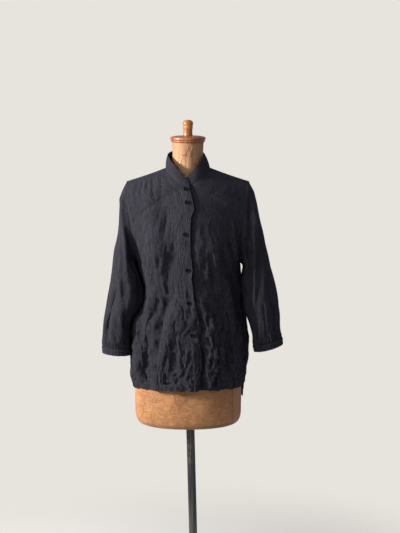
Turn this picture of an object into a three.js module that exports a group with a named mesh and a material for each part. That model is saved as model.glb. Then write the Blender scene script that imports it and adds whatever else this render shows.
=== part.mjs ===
// A mandarin collar shirt worn by a limbless dress form that stands on a pole and a round base.
// Units are millimetres. +Z is up, the front faces -Y and +X is the wearer's left.
// The origin is on the floor, under the middle of the base.
// Each cloth piece is a thin wall: a grid of points on its inner face, and the same grid moved out.

import * as THREE from "three";

// Cloth and seams
const CLOTH = 1.4;
const SEAM_GAP = 0.3;
const SEAM_TRIM = 0.2;
const ARMHOLE_GAP = 0.5;
const LONGEST_MITER = 1.6;
const HEM_CLOTH = 2.2;
const BAND_CLOTH = 1.6;
const UNDERLAP_DROP = 4;
const UNDERLAP_EASE = 30;

// Front closing
const PLACKET_WIDTH = 30;
const BUTTON_RADIUS = 5.8;
const BUTTON_THICK = 2.6;
const BUTTON_LIFT = 0.7;
const BUTTONS = [
  { z: 1388, fromEdge: 12 },
  { z: 1349, fromEdge: 19 },
  { z: 1258, fromEdge: 15 },
  { z: 1150, fromEdge: 15 },
  { z: 1048, fromEdge: 17 },
  { z: 953, fromEdge: 21 },
];

// Neck
const NECK_POINT = { x: 66, y: 5, z: 1437 };
const NECK_PIT = { y: -86, z: 1395 };
const NECK_NAPE = { y: 62, z: 1452 };
const COLLAR_TOP = { front: 1413, side: 1483, back: 1497 };
const COLLAR_TOP_Y = { front: -74, side: 3, back: 56 };
const COLLAR_REACH = { right: 60, left: 49.5 };
const COLLAR_LAP = { over: 5, under: 9 };
const COLLAR_LAYER = { right: -1.5, left: 4.2 };
const COLLAR_LAYER_REACH = 0.9;
const COLLAR_BOW = 2.5;

// Grid sizes
const ROW_STEP = 25;
const UNDERARM = 1155;
const LOWEST_SHARED_ROW = 805;
const SHOULDER_ROWS = 13;
const FRONT_NECK_ROWS = 6;
const BACK_NECK_ROWS = 4;
const HALF_COLUMNS = 11;
const PLACKET_COLUMNS = 2;
const SLEEVE_ROWS = 16;
const CUFF_DEPTH = 20;

// Height of the hems, at shares of the way from the centre to the side seam
const FRONT_HEM = [
  { share: 0, right: 780, left: 780 },
  { share: 0.5, right: 775, left: 777 },
  { share: 0.8, right: 768, left: 774 },
  { share: 0.93, right: 772, left: 776 },
  { share: 1, right: 784, left: 784 },
];
const BACK_HEM = [
  { share: 0, right: 730, left: 730 },
  { share: 0.6, right: 733, left: 728 },
  { share: 0.85, right: 748, left: 727 },
  { share: 1, right: 766, left: 728 },
];
const BACK_HEM_ROW = 780;
const VENT_TOP = 850;
const VENT_FOOT = 730;
const VENT_OPENING = 4;

// Half sizes of the shirt's body at each height; right and left are the wearer's, and y is where it is widest.
const BODY = [
  { z: 720, right: 168, left: 169, front: 125, back: 121, y: 4 },
  { z: 770, right: 171, left: 173, front: 128, back: 125, y: 4 },
  { z: 805, right: 177, left: 178.5, front: 130, back: 128, y: 5 },
  { z: 850, right: 179, left: 183, front: 131, back: 129, y: 8 },
  { z: 900, right: 178.5, left: 187, front: 130, back: 127, y: 11 },
  { z: 955, right: 179.5, left: 181, front: 128, back: 120, y: 15 },
  { z: 982, right: 174.5, left: 177.5, front: 127, back: 115, y: 17 },
  { z: 998, right: 160.5, left: 174, front: 126, back: 112, y: 18 },
  { z: 1015, right: 145.5, left: 171.5, front: 125, back: 109, y: 20 },
  { z: 1050, right: 135.8, left: 168.3, front: 123, back: 105, y: 22 },
  { z: 1075, right: 134, left: 166.2, front: 122, back: 102, y: 22 },
  { z: 1100, right: 140.5, left: 164, front: 121, back: 100, y: 19 },
  { z: 1130, right: 151, left: 161, front: 121.5, back: 98, y: 12 },
  { z: 1155, right: 155, left: 159, front: 122, back: 97, y: 4 },
];

// Depth of the centre front and centre back above the underarm.
const CHEST = [
  { z: 1155, front: 122, back: 97 },
  { z: 1205, front: 125, back: 99 },
  { z: 1255, front: 125, back: 101 },
  { z: 1305, front: 117, back: 100 },
  { z: 1345, front: 106, back: 96 },
  { z: 1395, front: 86, back: 85 },
  { z: 1425, front: 78, back: 74 },
  { z: 1452, front: 72, back: 62 },
];

// Sleeves as rings: each has an outer point and an inner point, seen from the front, a half depth and a middle depth.
// The first ring is the armhole and the last is the cuff seam.
const SLEEVES = {
  left: [
    { share: 0, outerX: 184, outerZ: 1402, innerX: 159, innerZ: 1155, depth: 62, y: 4 },
    { share: 0.081, outerX: 201.8, outerZ: 1366, innerX: 166, innerZ: 1150, depth: 64, y: 3 },
    { share: 0.207, outerX: 214.9, outerZ: 1305, innerX: 171, innerZ: 1136, depth: 65, y: 1 },
    { share: 0.303, outerX: 225.4, outerZ: 1259, innerX: 169, innerZ: 1112, depth: 64, y: -3 },
    { share: 0.429, outerX: 238.4, outerZ: 1198, innerX: 167.5, innerZ: 1080, depth: 61, y: -8 },
    { share: 0.559, outerX: 254, outerZ: 1136, innerX: 169.5, innerZ: 1048, depth: 58, y: -14 },
    { share: 0.667, outerX: 267.1, outerZ: 1085, innerX: 173, innerZ: 1018, depth: 56, y: -18 },
    { share: 0.752, outerX: 275, outerZ: 1044, innerX: 179.8, innerZ: 992, depth: 53, y: -21 },
    { share: 0.835, outerX: 280.5, outerZ: 1003, innerX: 189.5, innerZ: 966, depth: 50, y: -24 },
    { share: 0.919, outerX: 281.6, outerZ: 958, innerX: 197.7, innerZ: 934, depth: 46, y: -27 },
    { share: 1, outerX: 287.8, outerZ: 925, innerX: 201.3, innerZ: 901, depth: 38, y: -29 },
  ],
  right: [
    { share: 0, outerX: 184, outerZ: 1402, innerX: 155, innerZ: 1155, depth: 62, y: 4 },
    { share: 0.095, outerX: 204.5, outerZ: 1358, innerX: 159.5, innerZ: 1151, depth: 64, y: 3 },
    { share: 0.143, outerX: 205.6, outerZ: 1333, innerX: 160.5, innerZ: 1145, depth: 64.5, y: 2 },
    { share: 0.301, outerX: 212.8, outerZ: 1251, innerX: 151, innerZ: 1117, depth: 64, y: -4 },
    { share: 0.417, outerX: 224.5, outerZ: 1192, innerX: 141.5, innerZ: 1090, depth: 62, y: -10 },
    { share: 0.542, outerX: 232, outerZ: 1128, innerX: 137.5, innerZ: 1058, depth: 59, y: -15 },
    { share: 0.633, outerX: 239.8, outerZ: 1082, innerX: 141.5, innerZ: 1030, depth: 57, y: -18 },
    { share: 0.747, outerX: 250, outerZ: 1024, innerX: 169, innerZ: 992, depth: 53, y: -22 },
    { share: 0.8, outerX: 255.4, outerZ: 997, innerX: 178.5, innerZ: 974, depth: 51, y: -24 },
    { share: 0.853, outerX: 259.9, outerZ: 970, innerX: 181.5, innerZ: 956, depth: 48, y: -25 },
    { share: 0.929, outerX: 263.1, outerZ: 932, innerX: 181, innerZ: 922, depth: 43, y: -27 },
    { share: 1, outerX: 263, outerZ: 898, innerX: 180, innerZ: 891, depth: 37, y: -28 },
  ],
};

// How far the armhole bows out sideways, and how much of the sleeve's length takes part.
const ARMHOLE_BOW = [
  { turn: -180, right: 0, left: 0 },
  { turn: -90, right: -4, left: -4 },
  { turn: 0, right: 0, left: 0 },
  { turn: 40, right: 5, left: -1 },
  { turn: 65, right: 8, left: -3 },
  { turn: 90, right: 4, left: -6 },
  { turn: 118, right: 2, left: -9 },
  { turn: 150, right: 1, left: -5 },
  { turn: 180, right: 0, left: 0 },
];
const BOW_SHARE = 0.2;

// Where the front edge of the placket runs, as it swings off the middle.
const PLACKET_EDGE = [
  { z: 740, x: 32 },
  { z: 780, x: 29 },
  { z: 837, x: 37 },
  { z: 886, x: 41 },
  { z: 941, x: 33 },
  { z: 969, x: 38 },
  { z: 1032, x: 26 },
  { z: 1071, x: 17 },
  { z: 1122, x: 13 },
  { z: 1189, x: 11.5 },
  { z: 1258, x: 10.5 },
  { z: 1302, x: 10.5 },
  { z: 1339, x: 18.5 },
  { z: 1365, x: 13 },
  { z: 1395, x: 5 },
];

// Folds of the body. girth is degrees round from the centre front, negative towards the wearer's right.
// rise is how far a ridge stands out, or a trough falls in, and wide is half its width.
const BODY_FOLDS = [
  { topGirth: -50, topZ: 1230, lowGirth: -58, lowZ: 830, wide: 21, rise: 9 },
  { topGirth: -43, topZ: 1075, lowGirth: -48, lowZ: 800, wide: 16, rise: -9 },
  { topGirth: -20, topZ: 960, lowGirth: -37, lowZ: 785, wide: 13, rise: 5 },
  { topGirth: -24, topZ: 1160, lowGirth: -26, lowZ: 1010, wide: 16, rise: -4 },
  { topGirth: -38, topZ: 1250, lowGirth: -30, lowZ: 1180, wide: 38, rise: 6 },
  { topGirth: 36, topZ: 1255, lowGirth: 33, lowZ: 1190, wide: 40, rise: 6 },
  { topGirth: 13, topZ: 1010, lowGirth: 14, lowZ: 785, wide: 11, rise: -6 },
  { topGirth: 21, topZ: 1040, lowGirth: 24, lowZ: 800, wide: 12, rise: 5 },
  { topGirth: 34, topZ: 960, lowGirth: 32, lowZ: 780, wide: 12, rise: 4 },
  { topGirth: 42, topZ: 1130, lowGirth: 56, lowZ: 850, wide: 18, rise: 7 },
  { topGirth: 53, topZ: 1140, lowGirth: 70, lowZ: 840, wide: 15, rise: -7 },
  { topGirth: 62, topZ: 1200, lowGirth: 50, lowZ: 1275, wide: 15, rise: -4 },
  { topGirth: -62, topZ: 1200, lowGirth: -50, lowZ: 1275, wide: 15, rise: -4 },
  { topGirth: 107, topZ: 1110, lowGirth: 112, lowZ: 860, wide: 20, rise: -5 },
  { topGirth: 128, topZ: 1260, lowGirth: 132, lowZ: 740, wide: 24, rise: 8 },
  { topGirth: 150, topZ: 1080, lowGirth: 150, lowZ: 760, wide: 20, rise: -6 },
  { topGirth: 168, topZ: 1120, lowGirth: 170, lowZ: 740, wide: 19, rise: 6 },
  { topGirth: -170, topZ: 1060, lowGirth: -166, lowZ: 760, wide: 20, rise: -5 },
  { topGirth: -148, topZ: 1240, lowGirth: -146, lowZ: 740, wide: 23, rise: 8 },
  { topGirth: -128, topZ: 1100, lowGirth: -124, lowZ: 760, wide: 18, rise: -6 },
  { topGirth: -108, topZ: 1130, lowGirth: -104, lowZ: 760, wide: 20, rise: 6 },
];
const FOLD_END = 60;

// Folds of the sleeves. turn is degrees round from the outer side, through the front, to the inner side.
const SLEEVE_FOLDS = {
  left: [
    { topTurn: 80, topShare: 0.1, lowTurn: 118, lowShare: 0.99, wide: 14, rise: 6 },
    { topTurn: 112, topShare: 0.04, lowTurn: 120, lowShare: 0.42, wide: 12, rise: -8 },
    { topTurn: 150, topShare: 0.2, lowTurn: 150, lowShare: 0.6, wide: 14, rise: -5 },
    { topTurn: 52, topShare: 0.7, lowTurn: 60, lowShare: 0.96, wide: 12, rise: -6 },
    { topTurn: 30, topShare: 0.12, lowTurn: 40, lowShare: 0.5, wide: 14, rise: -4 },
    { topTurn: -60, topShare: 0.08, lowTurn: -80, lowShare: 0.8, wide: 16, rise: 6 },
    { topTurn: -110, topShare: 0.1, lowTurn: -120, lowShare: 0.7, wide: 14, rise: -7 },
    { topTurn: -30, topShare: 0.3, lowTurn: -36, lowShare: 0.95, wide: 14, rise: -5 },
  ],
  right: [
    { topTurn: 72, topShare: 0.1, lowTurn: 108, lowShare: 0.8, wide: 15, rise: 8 },
    { topTurn: 108, topShare: 0.04, lowTurn: 118, lowShare: 0.4, wide: 13, rise: -9 },
    { topTurn: 78, topShare: 0.6, lowTurn: 42, lowShare: 0.92, wide: 13, rise: -8 },
    { topTurn: 134, topShare: 0.35, lowTurn: 140, lowShare: 0.75, wide: 14, rise: -6 },
    { topTurn: 88, topShare: 0.74, lowTurn: 92, lowShare: 0.97, wide: 16, rise: 5 },
    { topTurn: -60, topShare: 0.08, lowTurn: -80, lowShare: 0.8, wide: 16, rise: 6 },
    { topTurn: -110, topShare: 0.1, lowTurn: -116, lowShare: 0.7, wide: 14, rise: -7 },
    { topTurn: -28, topShare: 0.3, lowTurn: -36, lowShare: 0.95, wide: 14, rise: -5 },
  ],
};

// The dress form's sections: half width, front and back depth, and squareness, where 2 is an ellipse.
// Its shoulders follow the shirt's shoulder line, half a millimetre under it.
const FORM = [
  { z: 645, half: 126, front: 74, back: 78, square: 2.1, y: 0 },
  { z: 648, half: 145, front: 90, back: 94, square: 2.1, y: 0 },
  { z: 656, half: 157, front: 100, back: 105, square: 2.1, y: 0 },
  { z: 671, half: 163, front: 106, back: 111, square: 2.1, y: 0 },
  { z: 695, half: 165, front: 108, back: 113, square: 2.1, y: 0 },
  { z: 780, half: 164.5, front: 109, back: 114, square: 2.1, y: 0 },
  { z: 870, half: 159, front: 105, back: 108, square: 2.1, y: 0 },
  { z: 950, half: 138, front: 94, back: 88, square: 2.1, y: 0 },
  { z: 1030, half: 116, front: 86, back: 72, square: 2.1, y: 0 },
  { z: 1100, half: 121, front: 92, back: 73, square: 2.1, y: 0 },
  { z: 1170, half: 133, front: 104, back: 79, square: 2.1, y: 0 },
  { z: 1245, half: 142, front: 111, back: 84, square: 2.1, y: 1 },
  { z: 1310, half: 154, front: 98, back: 84, square: 2.1, y: 2 },
  { z: 1355, half: 166, front: 82, back: 74, square: 2, y: 3 },
  { z: 1385, half: 174, front: 64, back: 58, square: 1.75, y: 4 },
];
const FORM_SHOULDER = [
  { z: 1404, front: 56, back: 50, square: 1.5 },
  { z: 1414, front: 54, back: 49, square: 1.3 },
  { z: 1424, front: 52, back: 48, square: 1.25 },
];
const FORM_SHOULDER_GAP = 1.6;
const FORM_NECK = [
  { z: 1436.5, half: 61.5, front: 50, back: 49, square: 1.7, y: 2 },
  { z: 1454, half: 51, front: 47, back: 48, square: 2, y: 1 },
  { z: 1482, half: 46.8, front: 45.5, back: 47, square: 2, y: 0 },
  { z: 1521, half: 47.8, front: 46.5, back: 47, square: 2, y: 0 },
];
const FORM_SEGMENTS = 28;
const POLE_SOCKET = { radius: 13.6, top: 705, foot: 645 };

// Stand, cap and knob
// The pole leans a little, so the form stands to one side of the base's middle.
const POLE_RADIUS = 13;
const POLE_FOOT = 10.7;
const POLE_LEAN = 0.024;
const FORM_STANDS_AT = -21.4;
const BASE_SEGMENTS = 36;
const TURNED_SEGMENTS = 28;
const BUTTON_SEGMENTS = 12;
const BASE_PROFILE = [
  [0, 0], [161, 0], [165, 3], [165, 7], [160, 10], [48, 16], [34, 22], [30, 34], [27, 37],
  [14.3, 37], [14.3, 10], [0, 10],
];
const CAP_PROFILE = [
  [0, 0], [50, 0], [51.5, 2], [51.5, 6], [53.6, 9], [53.6, 13], [51, 16], [40, 18.6], [15, 20], [0, 20],
];
const KNOB_PROFILE = [
  [0, 0], [13.4, 0], [12.6, 4], [12.7, 16], [14, 26], [13.6, 28.5], [15, 33], [14.6, 38.5], [11.6, 43.6],
  [6.5, 46.2], [0, 46.8],
];
const BUTTON_PROFILE = [
  [0, 0], [0.86, 0], [1, 0.3], [1, 0.75], [0.84, 1], [0.66, 0.78], [0, 0.7],
].map(([across, up]) => [across * BUTTON_RADIUS, up * BUTTON_THICK]);

// Materials
const clothMaterial = new THREE.MeshStandardMaterial({ color: 0x26272e, roughness: 0.85, metalness: 0 });
const buttonMaterial = new THREE.MeshStandardMaterial({ color: 0x0b0b0d, roughness: 0.35, metalness: 0 });
const formMaterial = new THREE.MeshStandardMaterial({ color: 0xa87a52, roughness: 0.6, metalness: 0 });
const woodMaterial = new THREE.MeshStandardMaterial({ color: 0xb56a3a, roughness: 0.4, metalness: 0 });
const steelMaterial = new THREE.MeshStandardMaterial({ color: 0x74776f, roughness: 0.35, metalness: 0.9 });
const ironMaterial = new THREE.MeshStandardMaterial({ color: 0x3a3c3b, roughness: 0.55, metalness: 0.7 });

const signOf = { right: -1, left: 1 };
const { lerp, clamp, smoothstep, degToRad, radToDeg } = THREE.MathUtils;

// Reads a table at one value of its key column, easing the other columns between rows with Hermite curves.
function readTable(rows, key, at) {
  const last = rows.length - 1;
  const value = clamp(at, rows[0][key], rows[last][key]);
  const i = Math.max(0, Math.min(last - 1, rows.findIndex((row) => row[key] >= value) - 1));
  const span = rows[i + 1][key] - rows[i][key];
  const t = (value - rows[i][key]) / span;
  const read = {};
  for (const column of Object.keys(rows[0])) {
    const slope = (k) => {
      const before = rows[Math.max(k - 1, 0)];
      const after = rows[Math.min(k + 1, last)];
      return ((after[column] - before[column]) / (after[key] - before[key])) * span;
    };
    const from = rows[i][column];
    const to = rows[i + 1][column];
    const t2 = t * t;
    const t3 = t2 * t;
    read[column] =
      (2 * t3 - 3 * t2 + 1) * from + (t3 - 2 * t2 + t) * slope(i) + (3 * t2 - 2 * t3) * to + (t3 - t2) * slope(i + 1);
  }
  return read;
}

// A point of a sleeve's ring. turn 0 is the outer side, a quarter turn the front and a half turn the inner side.
function sleevePoint(side, share, turn) {
  const ring = readTable(SLEEVES[side], "share", share);
  const across = Math.cos(turn);
  const round = radToDeg(Math.atan2(Math.sin(turn), across));
  const bow = readTable(ARMHOLE_BOW, "turn", round)[side] * (1 - smoothstep(share, 0, BOW_SHARE));
  return new THREE.Vector3(
    signOf[side] * ((ring.outerX + ring.innerX) / 2 + ((ring.outerX - ring.innerX) / 2) * across + bow),
    ring.y - ring.depth * Math.sin(turn),
    (ring.outerZ + ring.innerZ) / 2 + ((ring.outerZ - ring.innerZ) / 2) * across,
  );
}

// The neckline: turn 0 is the pit of the neck, a quarter turn the neck point on the shoulder and a half turn the nape.
function necklinePoint(side, turn) {
  const across = Math.sin(turn);
  const along = Math.cos(turn);
  const end = along > 0 ? NECK_PIT : NECK_NAPE;
  const fall = along > 0 ? 1 - across ** 1.5 : Math.abs(along);
  return new THREE.Vector3(
    signOf[side] * NECK_POINT.x * across,
    NECK_POINT.y + (end.y - NECK_POINT.y) * Math.abs(along),
    NECK_POINT.z + (end.z - NECK_POINT.z) * fall,
  );
}

// The two ends of a row of a body panel. Rows at or under the underarm are level, and those above it fan out
// from the centre line and the neckline to the armhole.
function panelRow(face, side, row) {
  const back = face === "back";
  if (!row.shoulder) {
    const section = readTable(BODY, "z", row.z);
    return {
      middle: new THREE.Vector3(0, back ? section.back : -section.front, row.z),
      end: new THREE.Vector3(signOf[side] * section[side], section.y, row.z),
      soft: 0,
    };
  }
  const share = row.shoulder / SHOULDER_ROWS;
  const neckRows = back ? BACK_NECK_ROWS : FRONT_NECK_ROWS;
  const centreRows = SHOULDER_ROWS - neckRows;
  const turn = Math.PI * (1 - share) * (back ? -1 : 1);
  let middle;
  if (row.shoulder <= centreRows) {
    const top = back ? NECK_NAPE.z : NECK_PIT.z;
    const z = lerp(UNDERARM, top, row.shoulder / centreRows);
    const depth = readTable(CHEST, "z", z);
    middle = new THREE.Vector3(0, back ? depth.back : -depth.front, z);
  } else {
    const quarter = (Math.PI / 2) * ((row.shoulder - centreRows) / neckRows);
    middle = necklinePoint(side, back ? Math.PI - quarter : quarter);
  }
  return { middle, end: sleevePoint(side, 0, turn), soft: smoothstep(share, 0, 1) };
}

// A point on a row, q of the way from its middle to its end: round as an ellipse low down, flatter at the shoulder.
function rowPoint({ middle, end, soft }, q) {
  const quarter = (q * Math.PI) / 2;
  const across = lerp(Math.sin(quarter), q, soft);
  const away = lerp(1 - Math.cos(quarter), Math.abs(q) ** lerp(1.8, 1, soft ** 3), soft);
  return new THREE.Vector3(
    lerp(middle.x, end.x, across),
    lerp(middle.y, end.y, away),
    lerp(middle.z, end.z, Math.abs(q)),
  );
}

// How far q moves for a small step sideways from the middle of a row.
function qForStep(row, step) {
  const reach = Math.abs(row.end.x - row.middle.x) * lerp(Math.PI / 2, 1, row.soft);
  return step / reach;
}

// Height of a hem, at a share of the way from the centre to the side seam.
function hemHeight(face, side, q) {
  return readTable(face === "back" ? BACK_HEM : FRONT_HEM, "share", Math.abs(q))[side];
}

// How much a fold adds at a place: a bell across it, with tapered ends.
function foldRise(fold, across, along) {
  return fold.rise * Math.exp(-((across / fold.wide) ** 2)) * along;
}

// The folds of the body at a girth in degrees and a height.
function bodyFolds(girth, z, radius) {
  let rise = 0;
  for (const fold of BODY_FOLDS) {
    const top = Math.max(fold.topZ, fold.lowZ);
    const low = Math.min(fold.topZ, fold.lowZ);
    const share = clamp((fold.topZ - z) / (fold.topZ - fold.lowZ), 0, 1);
    const middle = lerp(fold.topGirth, fold.lowGirth, share);
    const turn = ((((girth - middle + 180) % 360) + 360) % 360) - 180;
    const along = smoothstep(top - z, -FOLD_END / 2, FOLD_END) * smoothstep(z - low, -FOLD_END, FOLD_END / 2);
    rise += foldRise(fold, degToRad(turn) * radius, along);
  }
  return rise;
}

// The folds of a sleeve at a turn in degrees and a share of its length.
function sleeveFolds(side, turn, share) {
  let rise = 0;
  for (const fold of SLEEVE_FOLDS[side]) {
    const along = clamp((share - fold.topShare) / (fold.lowShare - fold.topShare), 0, 1);
    const middle = lerp(fold.topTurn, fold.lowTurn, along);
    const away = ((((turn - middle + 180) % 360) + 360) % 360) - 180;
    const ends = smoothstep(share, fold.topShare - 0.02, fold.topShare + 0.1) *
      (1 - smoothstep(share, fold.lowShare - 0.1, fold.lowShare + 0.02));
    rise += foldRise(fold, degToRad(away) * SLEEVES[side][4].depth, ends);
  }
  return rise;
}

// A sheet of cloth: a grid of points on its inner face, and the direction out at each of them.
// A closed sheet joins its last column to its first. A parted one is cut open above a row, between two columns
// that lie on each other up to that row.
class Sheet {
  constructor(points, { outward = 1, closed = false, parting = null } = {}) {
    this.points = points;
    this.outward = outward;
    this.closed = closed;
    this.parting = parting;
    this.columns = points[0].length;
    this.directions = this.faceDirections();
  }

  vertex(r, c) {
    const column = c % this.columns;
    const onParting = this.parting && column === this.parting.column + 1 && r <= this.parting.row;
    return r * this.columns + column - (onParting ? 1 : 0);
  }

  cells() {
    const cells = [];
    const across = this.closed ? this.columns : this.columns - 1;
    for (let r = 0; r < this.points.length - 1; r += 1) {
      for (let c = 0; c < across; c += 1) {
        if (this.parting && c === this.parting.column) continue;
        cells.push([this.vertex(r, c), this.vertex(r, c + 1), this.vertex(r + 1, c + 1), this.vertex(r + 1, c)]);
      }
    }
    return cells;
  }

  faceDirections() {
    const flat = this.points.flat();
    const sums = flat.map(() => new THREE.Vector3());
    for (const [a, b, c, d] of this.cells()) {
      const normal = flat[c].clone().sub(flat[a]).cross(flat[d].clone().sub(flat[b])).multiplyScalar(this.outward);
      for (const corner of [a, b, c, d]) sums[corner].add(normal);
    }
    return this.points.map((row, r) => row.map((_, c) => sums[this.vertex(r, c)].clone().normalize()));
  }

  movedOut(distance) {
    return this.points.map((row, r) =>
      row.map((point, c) => point.clone().addScaledVector(this.directions[r][c], distance)),
    );
  }

  // The rows and columns of a part of the sheet, moved out from it.
  patch(rows, columns, distance) {
    const cut = (grid) => grid.slice(0, rows).map((row) => row.slice(0, columns));
    const piece = new Sheet(cut(this.movedOut(distance)), { outward: this.outward });
    piece.directions = cut(this.directions);
    return piece;
  }

  // One solid wall between the sheet and the same sheet moved out, closed along every free edge.
  wall(thickness) {
    const inner = this.points.flat();
    const triangles = [];
    const rims = new Map();
    const skin = inner.length;
    for (const cell of this.cells()) {
      const [a, b, c, d] = cell;
      triangles.push(a + skin, b + skin, c + skin, a + skin, c + skin, d + skin, a, c, b, a, d, c);
      cell.forEach((from, k) => {
        const to = cell[(k + 1) % 4];
        const key = Math.min(from, to) * skin * 2 + Math.max(from, to);
        if (!rims.delete(key)) rims.set(key, [from, to]);
      });
    }
    for (const [from, to] of rims.values()) {
      triangles.push(from, to, to + skin, from, to + skin, from + skin);
    }
    const positions = [...inner, ...this.movedOut(thickness).flat()].flatMap(({ x, y, z }) => [x, y, z]);
    return facingOut(positions, triangles);
  }
}

// A geometry from positions and triangles, with its faces turned to point out.
function facingOut(positions, triangles) {
  const corner = (i) => new THREE.Vector3().fromArray(positions, 3 * triangles[i]);
  let volume = 0;
  for (let i = 0; i < triangles.length; i += 3) {
    volume += corner(i).dot(corner(i + 1).cross(corner(i + 2)));
  }
  if (volume < 0) triangles.reverse();
  const geometry = new THREE.BufferGeometry();
  geometry.setAttribute("position", new THREE.Float32BufferAttribute(positions, 3));
  geometry.setIndex(triangles);
  geometry.computeVertexNormals();
  return geometry;
}

// The rows of a panel, from its hem to its shoulder seam.
function panelRows(face) {
  const rows = face === "back" ? [{ hem: 0 }, { hem: 0.5 }, { z: BACK_HEM_ROW }] : [{ hem: 0 }];
  for (let z = LOWEST_SHARED_ROW; z <= UNDERARM; z += ROW_STEP) rows.push({ z });
  for (let shoulder = 1; shoulder <= SHOULDER_ROWS; shoulder += 1) rows.push({ shoulder });
  return rows;
}

// One half of a body panel as a surface: place(r, q) gives its inner face at row r, q of the way to the side.
function halfPanel(face, side) {
  const back = face === "back";
  const rows = panelRows(face);
  const sign = signOf[side];
  const ends = (r, q) => {
    const row = rows[r];
    if (row.hem === undefined) return panelRow(face, side, row);
    const z = lerp(hemHeight(face, side, q), back ? BACK_HEM_ROW : LOWEST_SHARED_ROW, row.hem);
    return panelRow(face, side, { z });
  };
  const place = (r, q) => {
    const row = ends(r, q);
    const point = rowPoint(row, q);
    const front = 90 * q * sign;
    const girth = back ? sign * 180 - front : front;
    const neckFade = rows[r].shoulder ? 1 - smoothstep(rows[r].shoulder, 5, SHOULDER_ROWS) : 1;
    const armFade = rows[r].shoulder ? 1 - smoothstep(q, 0.7, 1) : 1;
    const radius = (Math.abs(row.end.x) + Math.abs(row.middle.y)) / 2;
    const rise = bodyFolds(girth, point.z, radius) * neckFade * armFade;
    const out = new THREE.Vector3(Math.sin(degToRad(girth)), -Math.cos(degToRad(girth)), 0);
    point.addScaledVector(out, rise);
    const vent = (1 - smoothstep(point.z, VENT_FOOT, VENT_TOP)) * smoothstep(q, 0.85, 1);
    point.y += (back ? 1 : -1) * VENT_OPENING * vent;
    return point;
  };
  return { rows, ends, place };
}

// Where the front edge of a front panel lies on a row, as q: the right panel laps over the left one.
function frontEdgeQ(side, half, r) {
  const row = half.ends(r, 0);
  if (half.rows[r].shoulder > SHOULDER_ROWS - FRONT_NECK_ROWS) return 0;
  const edge = readTable(PLACKET_EDGE, "z", row.middle.z).x;
  const step = side === "right" ? edge : PLACKET_WIDTH - edge;
  return -qForStep(row, step);
}

// The columns of a front panel on a row: two under the placket, then even ones to the side seam.
function frontColumns(side, half, r) {
  const start = frontEdgeQ(side, half, r);
  const step = qForStep(half.ends(r, 0), PLACKET_WIDTH / PLACKET_COLUMNS);
  return Array.from({ length: HALF_COLUMNS + 1 }, (_, c) => {
    if (c <= PLACKET_COLUMNS) return start + c * step;
    return lerp(start + PLACKET_COLUMNS * step, 1, (c - PLACKET_COLUMNS) / (HALF_COLUMNS - PLACKET_COLUMNS));
  });
}

// Draws the side edges and the top row of a grid back, so that seams have a gap.
function openSeams(points, bothSides) {
  const shift = (point, from) => point.addScaledVector(point.clone().sub(from).normalize(), -SEAM_TRIM);
  for (const row of points) {
    shift(row[row.length - 1], row[row.length - 2]);
    if (bothSides) shift(row[0], row[1]);
  }
  points[points.length - 1].forEach((point, c) => shift(point, points[points.length - 2][c]));
}

function frontPanel(side) {
  const half = halfPanel("front", side);
  const points = half.rows.map((_, r) => frontColumns(side, half, r).map((q) => half.place(r, q)));
  if (side === "left") {
    for (const point of points.flat()) {
      const edge = readTable(PLACKET_EDGE, "z", point.z).x;
      point.y += UNDERLAP_DROP * (1 - smoothstep(point.x, edge + 6, edge + UNDERLAP_EASE));
    }
  }
  openSeams(points, false);
  return new Sheet(points, { outward: signOf[side] });
}

function backPanel() {
  const halves = { right: halfPanel("back", "right"), left: halfPanel("back", "left") };
  const shares = Array.from({ length: HALF_COLUMNS + 1 }, (_, c) => c / HALF_COLUMNS);
  const points = halves.left.rows.map((_, r) => [
    ...shares.toReversed().map((q) => halves.left.place(r, q)),
    ...shares.map((q) => halves.right.place(r, q)),
  ]);
  openSeams(points, true);
  const row = points.length - 1 - BACK_NECK_ROWS;
  return new Sheet(points, { parting: { column: HALF_COLUMNS, row } });
}

// The direction out along a seam between two pieces, longer where they meet at an angle.
function seamDirection(first, second) {
  const shared = first.clone().add(second).normalize();
  return shared.multiplyScalar(Math.min(1 / shared.dot(first.clone().normalize()), LONGEST_MITER));
}

// Gives the pieces that meet along the side, shoulder and armhole seams of one side the same directions.
function shareSeams(side, front, rear, sleeve) {
  const top = front.directions.length - 1;
  const extra = rear.directions.length - 1 - top;
  const frontEdge = HALF_COLUMNS;
  const rearEdge = side === "left" ? 0 : rear.columns - 1;
  const set = (direction, ...targets) => targets.forEach((target) => target.copy(direction));
  for (let r = 0; r <= top - SHOULDER_ROWS; r += 1) {
    const pair = [front.directions[r][frontEdge], rear.directions[r + extra][rearEdge]];
    set(seamDirection(...pair), ...pair);
  }
  const slope = (NECK_POINT.z - SLEEVES.left[0].outerZ) / (SLEEVES.left[0].outerX - NECK_POINT.x);
  const up = new THREE.Vector3(signOf[side] * slope, 0, 1);
  front.directions[top].forEach((direction) => direction.copy(up));
  const half = rear.directions[top + extra].slice(...(side === "left" ? [0, frontEdge + 1] : [frontEdge + 1]));
  half.forEach((direction) => direction.copy(up));
  for (let k = 0; k <= SHOULDER_ROWS; k += 1) {
    const r = top - SHOULDER_ROWS + k;
    const edges = [front.directions[r][frontEdge], rear.directions[r + extra][rearEdge]];
    const rings = [sleeve.directions[0][SHOULDER_ROWS - k], sleeve.directions[0][(SHOULDER_ROWS + k) % SLEEVE_TURNS.length]];
    if (rings[0] === rings[1]) {
      const body = edges[0].clone().normalize().add(edges[1].clone().normalize()).normalize();
      set(seamDirection(body, rings[0]), ...edges, rings[0]);
    } else {
      edges.forEach((edge, e) => set(seamDirection(edge.clone().normalize(), rings[e]), edge, rings[e]));
    }
  }
}

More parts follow.
